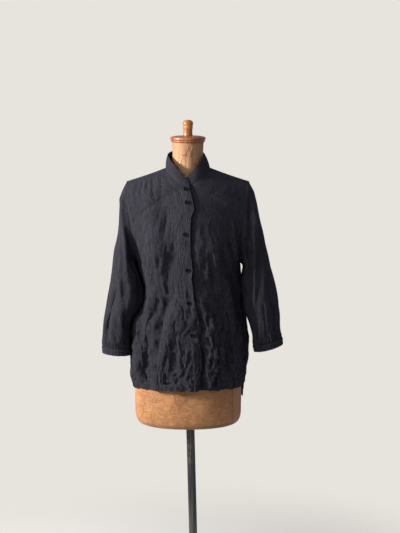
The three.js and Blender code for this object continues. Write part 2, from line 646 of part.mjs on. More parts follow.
// A point and direction on the placket at a height, a step in from the front edge.
function placketSeat(front, height, fromEdge) {
  const { points, directions } = front;
  const r = points.findIndex((row, k) => row[1].z <= height && points[k + 1][1].z > height);
  const up = (height - points[r][1].z) / (points[r + 1][1].z - points[r][1].z);
  const across = (fromEdge / PLACKET_WIDTH) * PLACKET_COLUMNS;
  const c = Math.floor(across);
  const blend = (grid) => {
    const low = grid[r][c].clone().lerp(grid[r][c + 1], across - c);
    return low.lerp(grid[r + 1][c].clone().lerp(grid[r + 1][c + 1], across - c), up);
  };
  const direction = blend(directions).normalize();
  const stack = 2 * CLOTH + SEAM_GAP + BUTTON_LIFT;
  return { point: blend(points).addScaledVector(direction, stack), direction };
}

// Turns of the sleeve's ring, which match the rows of the two panels at the armhole.
const SLEEVE_TURNS = Array.from({ length: 2 * SHOULDER_ROWS }, (_, k) => (Math.PI * k) / SHOULDER_ROWS);

function sleeveSheet(side) {
  const outward = side === "left" ? 1 : -1;
  const points = [];
  for (let r = 0; r <= SLEEVE_ROWS; r += 1) {
    points.push(SLEEVE_TURNS.map((turn) => sleevePoint(side, r / SLEEVE_ROWS, turn)));
  }
  const plain = new Sheet(points, { outward, closed: true });
  const folded = points.map((row, r) =>
    row.map((point, c) => {
      const rise = sleeveFolds(side, radToDeg(SLEEVE_TURNS[c]), r / SLEEVE_ROWS);
      return point.clone().addScaledVector(plain.directions[r][c], rise);
    }),
  );
  folded[0].forEach((point) => {
    point.x += signOf[side] * ARMHOLE_GAP;
  });
  return new Sheet(folded, { outward, closed: true });
}

// The cuff band carries the sleeve on in line, below a gap.
function cuffSheet(side, sleeve) {
  const centre = (ring) => ring.reduce((sum, p) => sum.add(p), new THREE.Vector3()).divideScalar(ring.length);
  const [before, last] = sleeve.points.slice(-2);
  const down = centre(last).sub(centre(before)).normalize();
  const points = [0, 1].map((share) =>
    last.map((point) => point.clone().addScaledVector(down, SEAM_GAP + 0.1 + CUFF_DEPTH * share)),
  );
  const cuff = new Sheet(points, { outward: sleeve.outward, closed: true });
  cuff.directions = [sleeve.directions[SLEEVE_ROWS], sleeve.directions[SLEEVE_ROWS]];
  return cuff;
}

// The collar stands on the neckline, with its right end lapped over its left.
function collarSheet() {
  const turns = [];
  for (let k = 0; k <= FRONT_NECK_ROWS; k += 1) turns.push((Math.PI / 2) * (k / FRONT_NECK_ROWS));
  for (let k = 1; k <= BACK_NECK_ROWS; k += 1) turns.push((Math.PI / 2) * (1 + k / BACK_NECK_ROWS));
  const stations = [
    ...turns.map((turn) => ({ side: "right", turn })),
    ...turns.slice(0, -1).reverse().map((turn) => ({ side: "left", turn })),
  ];
  const points = [0, 0.5, 1].map((height) =>
    stations.map(({ side, turn }) => {
      const low = necklinePoint(side, turn);
      low.z += SEAM_GAP + CLOTH * (0.85 + 0.15 * Math.sin(turn));
      const point = low.lerp(collarTop(side, turn), height);
      const outward = new THREE.Vector3(signOf[side] * Math.sin(turn), -Math.cos(turn), 0);
      point.addScaledVector(outward, COLLAR_BOW * Math.sin(Math.PI * height) * Math.sin(turn));
      const layer = 1 - smoothstep(turn, 0, COLLAR_LAYER_REACH);
      point.y += COLLAR_LAYER[side] * layer;
      if (turn === 0) point.x += side === "right" ? COLLAR_LAP.over : -COLLAR_LAP.under;
      return point;
    }),
  );
  return new Sheet(points, { outward: -1 });
}

// The collar's top edge, which leans to the wearer's right and falls in a V to the front.
function collarTop(side, turn) {
  const across = Math.sin(turn);
  const along = Math.cos(turn);
  const end = along > 0 ? "front" : "back";
  const fall = along > 0 ? 1 - across ** 1.1 : Math.abs(along);
  return new THREE.Vector3(
    signOf[side] * COLLAR_REACH[side] * across - 3 * Math.max(along, 0),
    COLLAR_TOP_Y.side + (COLLAR_TOP_Y[end] - COLLAR_TOP_Y.side) * Math.abs(along),
    COLLAR_TOP.side + (COLLAR_TOP[end] - COLLAR_TOP.side) * fall,
  );
}

// Where the pole's axis is at a height, sideways from the form's middle.
function poleAxis(z) {
  return -POLE_LEAN * z - FORM_STANDS_AT;
}

// A ring of the dress form.
function formRing({ z, half, front, back, square, y, x = 0 }) {
  return Array.from({ length: FORM_SEGMENTS }, (_, k) => {
    const turn = (2 * Math.PI * k) / FORM_SEGMENTS;
    const bend = (value) => Math.sign(value) * Math.abs(value) ** (2 / square);
    const along = bend(Math.cos(turn));
    return new THREE.Vector3(x + half * bend(Math.sin(turn)), y - along * (along > 0 ? front : back), z);
  });
}

// The dress form: one closed skin from the socket for the pole, round the hips and bust, to the top of the neck.
function formGeometry() {
  const shoulderHalf = (z) => {
    const tip = SLEEVES.left[0];
    const slope = (NECK_POINT.z - tip.outerZ) / (tip.outerX - NECK_POINT.x);
    return NECK_POINT.x + (NECK_POINT.z - z) / slope - FORM_SHOULDER_GAP;
  };
  const shoulders = FORM_SHOULDER.map((row) => ({ ...row, half: shoulderHalf(row.z), y: NECK_POINT.y - 1 }));
  const socket = (z) => {
    const { radius } = POLE_SOCKET;
    return { z, half: radius, front: radius, back: radius, square: 2, y: 0, x: poleAxis(z) };
  };
  const sections = [socket(POLE_SOCKET.top), socket(POLE_SOCKET.foot), ...FORM, ...shoulders, ...FORM_NECK];
  const rings = sections.map(formRing);
  const positions = rings.flat().flatMap((point) => [point.x, point.y, point.z]);
  const triangles = [];
  for (let r = 0; r < rings.length - 1; r += 1) {
    for (let c = 0; c < FORM_SEGMENTS; c += 1) {
      const a = r * FORM_SEGMENTS + c;
      const b = r * FORM_SEGMENTS + ((c + 1) % FORM_SEGMENTS);
      triangles.push(a, b, b + FORM_SEGMENTS, a, b + FORM_SEGMENTS, a + FORM_SEGMENTS);
    }
  }
  const cap = (ring, z, turned) => {
    const middle = positions.length / 3;
    positions.push(turned ? poleAxis(z) : 0, 0, z);
    for (let c = 0; c < FORM_SEGMENTS; c += 1) {
      const a = ring * FORM_SEGMENTS + c;
      const b = ring * FORM_SEGMENTS + ((c + 1) % FORM_SEGMENTS);
      triangles.push(...(turned ? [b, a, middle] : [a, b, middle]));
    }
  };
  cap(0, POLE_SOCKET.top, true);
  cap(rings.length - 1, sections[sections.length - 1].z, false);
  return facingOut(positions, triangles);
}

// A turned piece stood upright, from a profile of radius and height.
function turned(profile, segments) {
  const outline = profile.map(([radius, height]) => new THREE.Vector2(radius, height));
  return new THREE.LatheGeometry(outline, segments).rotateX(Math.PI / 2);
}

const part = new THREE.Group();
const dressed = new THREE.Group();
dressed.position.x = FORM_STANDS_AT;
part.add(dressed);

function add(group, name, geometry, material, position = new THREE.Vector3()) {
  const mesh = new THREE.Mesh(geometry, material);
  mesh.name = name;
  mesh.position.copy(position);
  group.add(mesh);
  return mesh;
}

// Stand
const poleTop = POLE_SOCKET.top - 2 * SEAM_GAP;
const poleLength = (poleTop - POLE_FOOT) / Math.cos(POLE_LEAN);
const poleGeometry = new THREE.CylinderGeometry(POLE_RADIUS, POLE_RADIUS, poleLength, 20).rotateX(Math.PI / 2);
const poleMiddle = (POLE_FOOT + poleTop) / 2;
const poleAt = new THREE.Vector3(-POLE_LEAN * poleMiddle, 0, poleMiddle);
add(part, "stand_base", turned(BASE_PROFILE, BASE_SEGMENTS), ironMaterial);
add(part, "stand_pole", poleGeometry, steelMaterial, poleAt).rotation.y = -Math.atan(POLE_LEAN);

// Dress form
const neckTop = FORM_NECK[FORM_NECK.length - 1].z + SEAM_GAP;
const capTop = neckTop + CAP_PROFILE[CAP_PROFILE.length - 1][1] + SEAM_GAP;
add(dressed, "form_body", formGeometry(), formMaterial);
add(dressed, "neck_cap", turned(CAP_PROFILE, TURNED_SEGMENTS), woodMaterial, new THREE.Vector3(0, 0, neckTop));
add(dressed, "cap_knob", turned(KNOB_PROFILE, TURNED_SEGMENTS), woodMaterial, new THREE.Vector3(0, 0, capTop));

// Body of the shirt and its sleeves
const fronts = { right: frontPanel("right"), left: frontPanel("left") };
const back = backPanel();
const sleeves = { right: sleeveSheet("right"), left: sleeveSheet("left") };
for (const side of ["right", "left"]) {
  shareSeams(side, fronts[side], back, sleeves[side]);
  add(dressed, `front_${side}`, fronts[side].wall(CLOTH), clothMaterial);
  add(dressed, `sleeve_${side}`, sleeves[side].wall(CLOTH), clothMaterial);
  add(dressed, `cuff_${side}`, cuffSheet(side, sleeves[side]).wall(HEM_CLOTH), clothMaterial);
}
add(dressed, "back", back.wall(CLOTH), clothMaterial);
const placketRows = fronts.right.points.length - FRONT_NECK_ROWS;
const placket = fronts.right.patch(placketRows, PLACKET_COLUMNS + 1, CLOTH + SEAM_GAP);
add(dressed, "placket", placket.wall(CLOTH), clothMaterial);
add(dressed, "collar", collarSheet().wall(BAND_CLOTH), clothMaterial);

// Buttons, from the neck down
BUTTONS.forEach(({ z, fromEdge }, k) => {
  const { point, direction } = placketSeat(fronts.right, z, fromEdge);
  const button = add(dressed, `button_${k + 1}`, turned(BUTTON_PROFILE, BUTTON_SEGMENTS), buttonMaterial, point);
  button.quaternion.setFromUnitVectors(new THREE.Vector3(0, 0, 1), direction);
});

export default part;
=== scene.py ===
"""A washed mandarin collar shirt on a limbless dress form with a pole stand.

Every piece is made in millimetres with +Z up, the shirt's front towards -Y and +X at the wearer's
left, and is scaled to metres as it goes into its mesh. The dressed form's own middle is x = 0 in the
shirt's and the form's formulas, and the whole of it stands a little to one side of the base.
"""

import logging
import math
from collections.abc import Sequence
from dataclasses import dataclass, field
from enum import Enum

import bmesh
import bpy
import numpy as np
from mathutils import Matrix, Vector


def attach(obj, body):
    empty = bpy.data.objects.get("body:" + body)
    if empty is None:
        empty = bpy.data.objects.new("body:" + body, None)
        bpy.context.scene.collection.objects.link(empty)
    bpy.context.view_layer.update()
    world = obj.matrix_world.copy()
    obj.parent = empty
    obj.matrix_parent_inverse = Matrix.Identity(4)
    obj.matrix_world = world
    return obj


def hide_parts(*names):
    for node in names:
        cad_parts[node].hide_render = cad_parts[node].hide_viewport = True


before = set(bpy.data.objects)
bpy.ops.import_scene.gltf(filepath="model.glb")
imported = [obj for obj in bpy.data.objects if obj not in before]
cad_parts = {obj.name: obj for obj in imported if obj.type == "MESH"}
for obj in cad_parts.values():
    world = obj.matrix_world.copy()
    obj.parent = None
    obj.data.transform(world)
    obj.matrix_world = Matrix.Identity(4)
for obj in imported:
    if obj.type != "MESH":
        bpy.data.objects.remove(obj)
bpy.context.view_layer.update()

logging.basicConfig(level=logging.INFO, format="%(message)s")
log = logging.getLogger("shirt")

MILLIMETRE = 0.001
FORM_STANDS_AT = -21.4
POLE_LEAN = 0.024
SMOOTH_UNDER = math.radians(50)

Values = np.ndarray | float
Colour = tuple[float, float, float]


class Side(Enum):
    """The wearer's right or left, with the sign of its x."""

    RIGHT = -1
    LEFT = 1

    @property
    def word(self) -> str:
        """The side's name in piece names and table columns."""
        return self.name.lower()


class Face(Enum):
    """The front or the back of the shirt's body, with the sign of its y."""

    FRONT = -1
    BACK = 1


def lerp(a: Values, b: Values, t: Values) -> Values:
    """Straight blend from a to b."""
    return a + (b - a) * t


def ease(value: np.ndarray, low: float, high: float) -> np.ndarray:
    """Smooth step: 0 under low, 1 over high, and 3t^2 - 2t^3 between them."""
    t = np.clip((np.asarray(value, float) - low) / (high - low), 0.0, 1.0)
    return t * t * (3.0 - 2.0 * t)


def bell(value: np.ndarray, width: float) -> np.ndarray:
    """Bell curve, exp(-(value / width)^2)."""
    return np.exp(-np.square(value / width))


def around(angle: np.ndarray) -> np.ndarray:
    """Brings an angle in degrees into -180 to 180."""
    return (angle + 180.0) % 360.0 - 180.0


def unit(vectors: np.ndarray) -> np.ndarray:
    """Scales vectors to length 1."""
    return vectors / np.maximum(np.linalg.norm(vectors, axis=-1, keepdims=True), 1e-12)


class Table:
    """Named columns of numbers over a key, read with Hermite curves between the rows."""

    def __init__(self, columns: str, rows: Sequence[Sequence[float]]) -> None:
        """Keeps the rows.

        Args:
            columns: The names of the columns, with the key first.
            rows: The numbers, with the key rising.
        """
        names = columns.split()
        data = np.array(rows, float)
        self.key = data[:, 0]
        self.columns = {name: data[:, k] for k, name in enumerate(names)}

    def read(self, name: str, at: np.ndarray) -> np.ndarray:
        """Reads one column.

        Between rows a and b it is (2t^3-3t^2+1)a + (t^3-2t^2+t)A + (3t^2-2t^3)b + (t^3-t^2)B, where A and
        B are the slopes through each row's neighbours times the step between the rows.

        Args:
            name: The column's name.
            at: Values of the key.

        Returns:
            The column's values there.
        """
        key, column = self.key, self.columns[name]
        value = np.clip(np.asarray(at, float), key[0], key[-1])
        i = np.clip(np.searchsorted(key, value, side="left") - 1, 0, len(key) - 2)
        span = key[i + 1] - key[i]
        t = (value - key[i]) / span

        def slope(k: np.ndarray) -> np.ndarray:
            """Slope through the rows on either side of row k."""
            before = np.maximum(k - 1, 0)
            after = np.minimum(k + 1, len(key) - 1)
            return (column[after] - column[before]) / (key[after] - key[before]) * span

        t2, t3 = t * t, t * t * t
        return (
            (2 * t3 - 3 * t2 + 1) * column[i]
            + (t3 - 2 * t2 + t) * slope(i)
            + (3 * t2 - 2 * t3) * column[i + 1]
            + (t3 - t2) * slope(i + 1)
        )


class Crumple:
    """Smooth random relief over a plane, the same on each run."""

    def __init__(self, seed: int, size: int = 128) -> None:
        """Draws the lattice of random values that repeats every size cells."""
        self.size = size
        self.lattice = np.random.default_rng(seed).uniform(-1.0, 1.0, (size, size))

    def value(self, u: np.ndarray, v: np.ndarray) -> np.ndarray:
        """Lattice values blended with 6t^5 - 15t^4 + 10t^3 along both ways, from -1 to 1.

        Args:
            u: Place across, in cells.
            v: Place along, in cells.

        Returns:
            Heights.
        """
        iu, iv = np.floor(u).astype(int), np.floor(v).astype(int)
        fu, fv = u - iu, v - iv
        fu = fu**3 * (fu * (6.0 * fu - 15.0) + 10.0)
        fv = fv**3 * (fv * (6.0 * fv - 15.0) + 10.0)
        a, b, n = iu % self.size, iv % self.size, self.size
        low = lerp(self.lattice[a, b], self.lattice[(a + 1) % n, b], fu)
        high = lerp(self.lattice[a, (b + 1) % n], self.lattice[(a + 1) % n, (b + 1) % n], fu)
        return lerp(low, high, fv)

    def creases(self, u: np.ndarray, v: np.ndarray, octaves: int = 2) -> np.ndarray:
        """Sharp branching ridges, 1 - 2.2 sqrt(value^2 + 0.012), finer and lower in each octave.

        Args:
            u: Place across.
            v: Place along.
            octaves: How many sizes of ridge are added, each 1.9 times finer and 0.55 as high.

        Returns:
            Heights, 1 at most for the first octave.
        """
        total = np.zeros(np.broadcast(u, v).shape)
        high, fine = 1.0, 1.0
        for k in range(octaves):
            ridge = 1.0 - 2.2 * np.sqrt(self.value(u * fine + 17.3 * k, v * fine - 9.1 * k) ** 2 + 0.012)
            total += high * ridge
            high *= 0.55
            fine *= 1.9
        return total


BODY = Table(
    "z right left front back y",
    [
        (720, 168, 169, 125, 121, 4), (770, 171, 173, 128, 125, 4), (805, 177, 178.5, 130, 128, 5),
        (850, 179, 183, 131, 129, 8), (900, 178.5, 187, 130, 127, 11), (955, 179.5, 181, 128, 120, 15),
        (982, 174.5, 177.5, 127, 115, 17), (998, 160.5, 174, 126, 112, 18),
        (1015, 145.5, 171.5, 125, 109, 20), (1050, 135.8, 168.3, 123, 105, 22),
        (1075, 134, 166.2, 122, 102, 22), (1100, 140.5, 164, 121, 100, 19),
        (1130, 151, 161, 121.5, 98, 12), (1155, 155, 159, 122, 97, 4),
    ],
)
CHEST = Table(
    "z front back",
    [
        (1155, 122, 97), (1205, 125, 99), (1255, 125, 101), (1305, 117, 100), (1345, 106, 96),
        (1395, 86, 85), (1425, 78, 74), (1452, 72, 62),
    ],
)
SLEEVES = {
    Side.LEFT: Table(
        "share outer_x outer_z inner_x inner_z depth y",
        [
            (0, 184, 1402, 159, 1155, 62, 4), (0.081, 201.8, 1366, 166, 1150, 64, 3),
            (0.207, 214.9, 1305, 169.5, 1136, 65, 1), (0.303, 225.4, 1259, 164.5, 1112, 64, -3),
            (0.429, 238.4, 1198, 163.5, 1080, 61, -8), (0.559, 254, 1136, 165, 1048, 58, -14),
            (0.667, 267.1, 1085, 169.5, 1018, 56, -18), (0.752, 275, 1044, 179.8, 992, 53, -21),
            (0.835, 280.5, 1003, 189.5, 966, 50, -24), (0.919, 281.6, 958, 197.7, 934, 46, -27),
            (1, 287.8, 925, 201.3, 901, 38, -29),
        ],
    ),
    Side.RIGHT: Table(
        "share outer_x outer_z inner_x inner_z depth y",
        [
            (0, 184, 1402, 155, 1155, 62, 4), (0.095, 204.5, 1358, 159.5, 1151, 64, 3),
            (0.143, 205.6, 1333, 160.5, 1145, 64.5, 2), (0.301, 212.8, 1251, 147.5, 1117, 64, -4),
            (0.417, 224.5, 1192, 137, 1090, 62, -10), (0.542, 232, 1128, 132.5, 1058, 59, -15),
            (0.633, 239.8, 1082, 136, 1030, 57, -18), (0.747, 250, 1024, 165, 992, 53, -22),
            (0.8, 255.4, 997, 175, 974, 51, -24), (0.853, 259.9, 970, 178.5, 956, 48, -25),
            (0.929, 263.1, 932, 178.5, 922, 43, -27), (1, 263, 898, 178, 891, 37, -28),
        ],
    ),
}
ARMHOLE_BOW = Table(
    "turn right left",
    [
        (-180, 0, 0), (-90, -4, -4), (0, 0, 0), (40, 5, -1), (65, 8, -3), (90, 4, -6), (118, 2, -9),
        (150, 1, -5), (180, 0, 0),
    ],
)
PLACKET_EDGE = Table(
    "z x",
    [
        (740, 32), (772, 29.5), (800, 34), (826, 34.5), (848, 43.5), (888, 43), (919, 37.5), (949, 33),
        (968, 41.5), (988, 36), (1012, 29), (1047, 20.5), (1092, 15.5), (1125, 12), (1152, 14),
        (1197, 9), (1256, 7.5), (1302, 9), (1320, 13.5), (1338, 18.5), (1365, 12), (1395, 5),
    ],
)
HEMS = {
    Face.FRONT: Table(
        "share right left",
        [(0, 780, 780), (0.5, 775, 777), (0.8, 768, 774), (0.9, 771, 775), (0.96, 779, 778), (1, 796, 788)],
    ),
    Face.BACK: Table(
        "share right left",
        [(0, 730, 730), (0.6, 733, 728), (0.85, 750, 727), (0.94, 772, 727), (1, 800, 728)],
    ),
}


@dataclass(frozen=True)
class Fold:
    """A soft fold that runs from one place on a piece to another, ridge or trough."""

    top: float
    top_at: float
    low: float
    low_at: float
    wide: float
    rise: float


BODY_FOLDS = [
    Fold(-50, 1230, -58, 830, 21, 9), Fold(-43, 1075, -48, 800, 16, -9),
    Fold(-20, 960, -37, 785, 13, 5), Fold(-24, 1160, -26, 1010, 16, -4),
    Fold(-38, 1250, -30, 1180, 38, 6), Fold(36, 1255, 33, 1190, 40, 6), Fold(13, 1010, 14, 785, 11, -6),
    Fold(21, 1040, 24, 800, 12, 5), Fold(34, 960, 32, 780, 12, 4), Fold(42, 1130, 56, 850, 18, 7),
    Fold(53, 1140, 70, 840, 15, -7), Fold(62, 1200, 50, 1275, 15, -4),
    Fold(-62, 1200, -50, 1275, 15, -4), Fold(107, 1110, 112, 860, 20, -5),
    Fold(128, 1260, 132, 740, 24, 8), Fold(150, 1080, 150, 760, 20, -6),
    Fold(168, 1120, 170, 740, 19, 6), Fold(-170, 1060, -166, 760, 20, -5),
    Fold(-148, 1240, -146, 740, 23, 8), Fold(-128, 1100, -124, 760, 18, -6),
    Fold(-108, 1130, -104, 760, 20, 6),
]
SLEEVE_FOLDS = {
    Side.LEFT: [
        Fold(80, 0.1, 118, 0.99, 14, 6), Fold(112, 0.04, 120, 0.42, 12, -8),
        Fold(150, 0.2, 150, 0.6, 14, -5), Fold(52, 0.7, 60, 0.96, 12, -6),
        Fold(30, 0.12, 40, 0.5, 14, -4), Fold(-60, 0.08, -80, 0.8, 16, 6),
        Fold(-110, 0.1, -120, 0.7, 14, -7), Fold(-30, 0.3, -36, 0.95, 14, -5),
    ],
    Side.RIGHT: [
        Fold(72, 0.1, 108, 0.8, 15, 8), Fold(108, 0.04, 118, 0.4, 13, -9),
        Fold(78, 0.6, 42, 0.92, 13, -8), Fold(134, 0.35, 140, 0.75, 14, -6),
        Fold(88, 0.74, 92, 0.97, 16, 5), Fold(-60, 0.08, -80, 0.8, 16, 6),
        Fold(-110, 0.1, -116, 0.7, 14, -7), Fold(-28, 0.3, -36, 0.95, 14, -5),
    ],
}


@dataclass(frozen=True)
class Pattern:
    """The shirt's lines: where its rows, edges and openings run, in millimetres."""

    underarm: float = 1155.0
    shared_row: float = 805.0
    back_row: float = 780.0
    shoulder_rows: float = 13.0
    front_neck_rows: float = 6.0
    back_neck_rows: float = 4.0
    placket_width: float = 30.0
    neck_x: float = 66.0
    neck_y: float = 5.0
    neck_z: float = 1437.0
    pit_y: float = -86.0
    pit_z: float = 1395.0
    nape_y: float = 62.0
    nape_z: float = 1452.0
    fold_end: float = 60.0
    bow_share: float = 0.2
    sleeve_depth: dict = field(default_factory=lambda: {Side.LEFT: 61.0, Side.RIGHT: 62.0})

    def sleeve_point(self, side: Side, share: np.ndarray, turn: np.ndarray) -> np.ndarray:
        """A point of a sleeve: an ellipse between its outer and inner points, bowed at the armhole.

        Args:
            side: Which sleeve.
            share: 0 at the armhole and 1 at the cuff seam.
            turn: Radians, 0 at the outer side, a quarter turn at the front, half a turn inside.

        Returns:
            Points, with x = side * (middle + half * cos + bow), y = y0 - depth * sin and z like x.
        """
        table = SLEEVES[side]
        across, high = np.cos(turn), np.sin(turn)
        bow = ARMHOLE_BOW.read(side.word, np.degrees(np.arctan2(high, across)))
        bow = bow * (1.0 - ease(share, 0.0, self.bow_share))
        outer_x, inner_x = table.read("outer_x", share), table.read("inner_x", share)
        outer_z, inner_z = table.read("outer_z", share), table.read("inner_z", share)
        x = side.value * ((outer_x + inner_x) / 2 + (outer_x - inner_x) / 2 * across + bow)
        y = table.read("y", share) - table.read("depth", share) * high
        z = (outer_z + inner_z) / 2 + (outer_z - inner_z) / 2 * across
        return np.stack(np.broadcast_arrays(x, y, z), axis=-1)

    def neckline(self, side: Side, turn: np.ndarray) -> np.ndarray:
        """The neckline: turn 0 is the pit of the neck, a quarter turn the shoulder, half a turn the nape.

        x goes with sin(turn), y with |cos(turn)| and z falls with 1 - sin^1.5 to the front.

        Args:
            side: Right or left half.
            turn: Radians.

        Returns:
            Points.
        """
        across, along = np.sin(turn), np.cos(turn)
        front = along > 0
        fall = np.where(front, 1.0 - np.clip(across, 0, 1) ** 1.5, np.abs(along))
        y = self.neck_y + (np.where(front, self.pit_y, self.nape_y) - self.neck_y) * np.abs(along)
        z = self.neck_z + (np.where(front, self.pit_z, self.nape_z) - self.neck_z) * fall
        return np.stack(np.broadcast_arrays(side.value * self.neck_x * across, y, z), axis=-1)

    def row(
        self, face: Face, side: Side, z: np.ndarray, step: np.ndarray
    ) -> tuple[np.ndarray, np.ndarray, np.ndarray]:
        """The ends of the rows of a body panel.

        Args:
            face: Front or back.
            side: Right or left half.
            z: Height of each point, used at or under the underarm.
            step: 0 on level rows, and up to shoulder_rows on rows that fan out to the armhole.

        Returns:
            The row's middle point, its end point and its softness, for each place.
        """
        back = face is Face.BACK
        level_middle = np.stack(
            [0 * z, BODY.read("back", z) if back else -BODY.read("front", z), z], axis=-1
        )
        level_end = np.stack([side.value * BODY.read(side.word, z), BODY.read("y", z), z], axis=-1)
        share = step / self.shoulder_rows
        neck_rows = self.back_neck_rows if back else self.front_neck_rows
        centre_rows = self.shoulder_rows - neck_rows
        top = self.nape_z if back else self.pit_z
        rise = lerp(self.underarm, top, np.clip(step / centre_rows, 0, 1))
        depth = CHEST.read("back" if back else "front", rise)
        centre = np.stack([0 * rise, depth if back else -depth, rise], axis=-1)
        quarter = math.pi / 2 * np.clip((step - centre_rows) / neck_rows, 0, 1)
        neck = self.neckline(side, math.pi - quarter if back else quarter)
        middle = np.where((step <= centre_rows)[..., None], centre, neck)
        end = self.sleeve_point(side, np.zeros_like(share), math.pi * (1 - share) * face.value * -1)
        high = (step > 0)[..., None]
        return (
            np.where(high, middle, level_middle),
            np.where(high, end, level_end),
            ease(share, 0, 1),
        )

    def row_point(self, middle: np.ndarray, end: np.ndarray, soft: np.ndarray, q: np.ndarray) -> np.ndarray:
        """A point q of the way along a row: an ellipse low down, flatter towards the shoulder.

        Args:
            middle: The row's point on the centre line.
            end: Its point at the seam.
            soft: 0 low down and 1 at the shoulder.
            q: How far along the row.

        Returns:
            Points.
        """
        quarter = q * math.pi / 2
        across = lerp(np.sin(quarter), q, soft)
        away = lerp(1 - np.cos(quarter), np.abs(q) ** lerp(1.8, 1.0, soft**3), soft)
        return np.stack(
            [
                lerp(middle[..., 0], end[..., 0], across),
                lerp(middle[..., 1], end[..., 1], away),
                lerp(middle[..., 2], end[..., 2], np.abs(q)),
            ],
            axis=-1,
        )

    def body_folds(self, girth: np.ndarray, z: np.ndarray, radius: np.ndarray) -> np.ndarray:
        """Height of the body's folds: for each, rise * bell(distance across it) with eased ends.

        Args:
            girth: Degrees round the body, 0 at the front.
            z: Height.
            radius: The body's radius there.

        Returns:
            Heights in millimetres.
        """
        rise = np.zeros(np.broadcast(girth, z).shape)
        for fold in BODY_FOLDS:
            top, low = max(fold.top_at, fold.low_at), min(fold.top_at, fold.low_at)
            share = np.clip((fold.top_at - z) / (fold.top_at - fold.low_at), 0, 1)
            turn = around(girth - lerp(fold.top, fold.low, share))
            along = ease(top - z, -self.fold_end / 2, self.fold_end)
            along = along * ease(z - low, -self.fold_end, self.fold_end / 2)
            rise += fold.rise * bell(np.radians(turn) * radius, fold.wide) * along
        return rise

    def sleeve_folds(self, side: Side, turn: np.ndarray, share: np.ndarray) -> np.ndarray:
        """Height of a sleeve's folds, with turn in degrees: rise * bell(distance across) with eased ends.

        Args:
            side: Which sleeve.
            turn: Degrees round the arm.
            share: Share of the way down the sleeve.

        Returns:
            Heights in millimetres.
        """
        rise = np.zeros(np.broadcast(turn, share).shape)
        for fold in SLEEVE_FOLDS[side]:
            along = np.clip((share - fold.top_at) / (fold.low_at - fold.top_at), 0, 1)
            away = around(turn - lerp(fold.top, fold.low, along))
            ends = ease(share, fold.top_at - 0.02, fold.top_at + 0.1)
            ends = ends * (1 - ease(share, fold.low_at - 0.1, fold.low_at + 0.02))
            rise += fold.rise * bell(np.radians(away) * self.sleeve_depth[side], fold.wide) * ends
        return rise


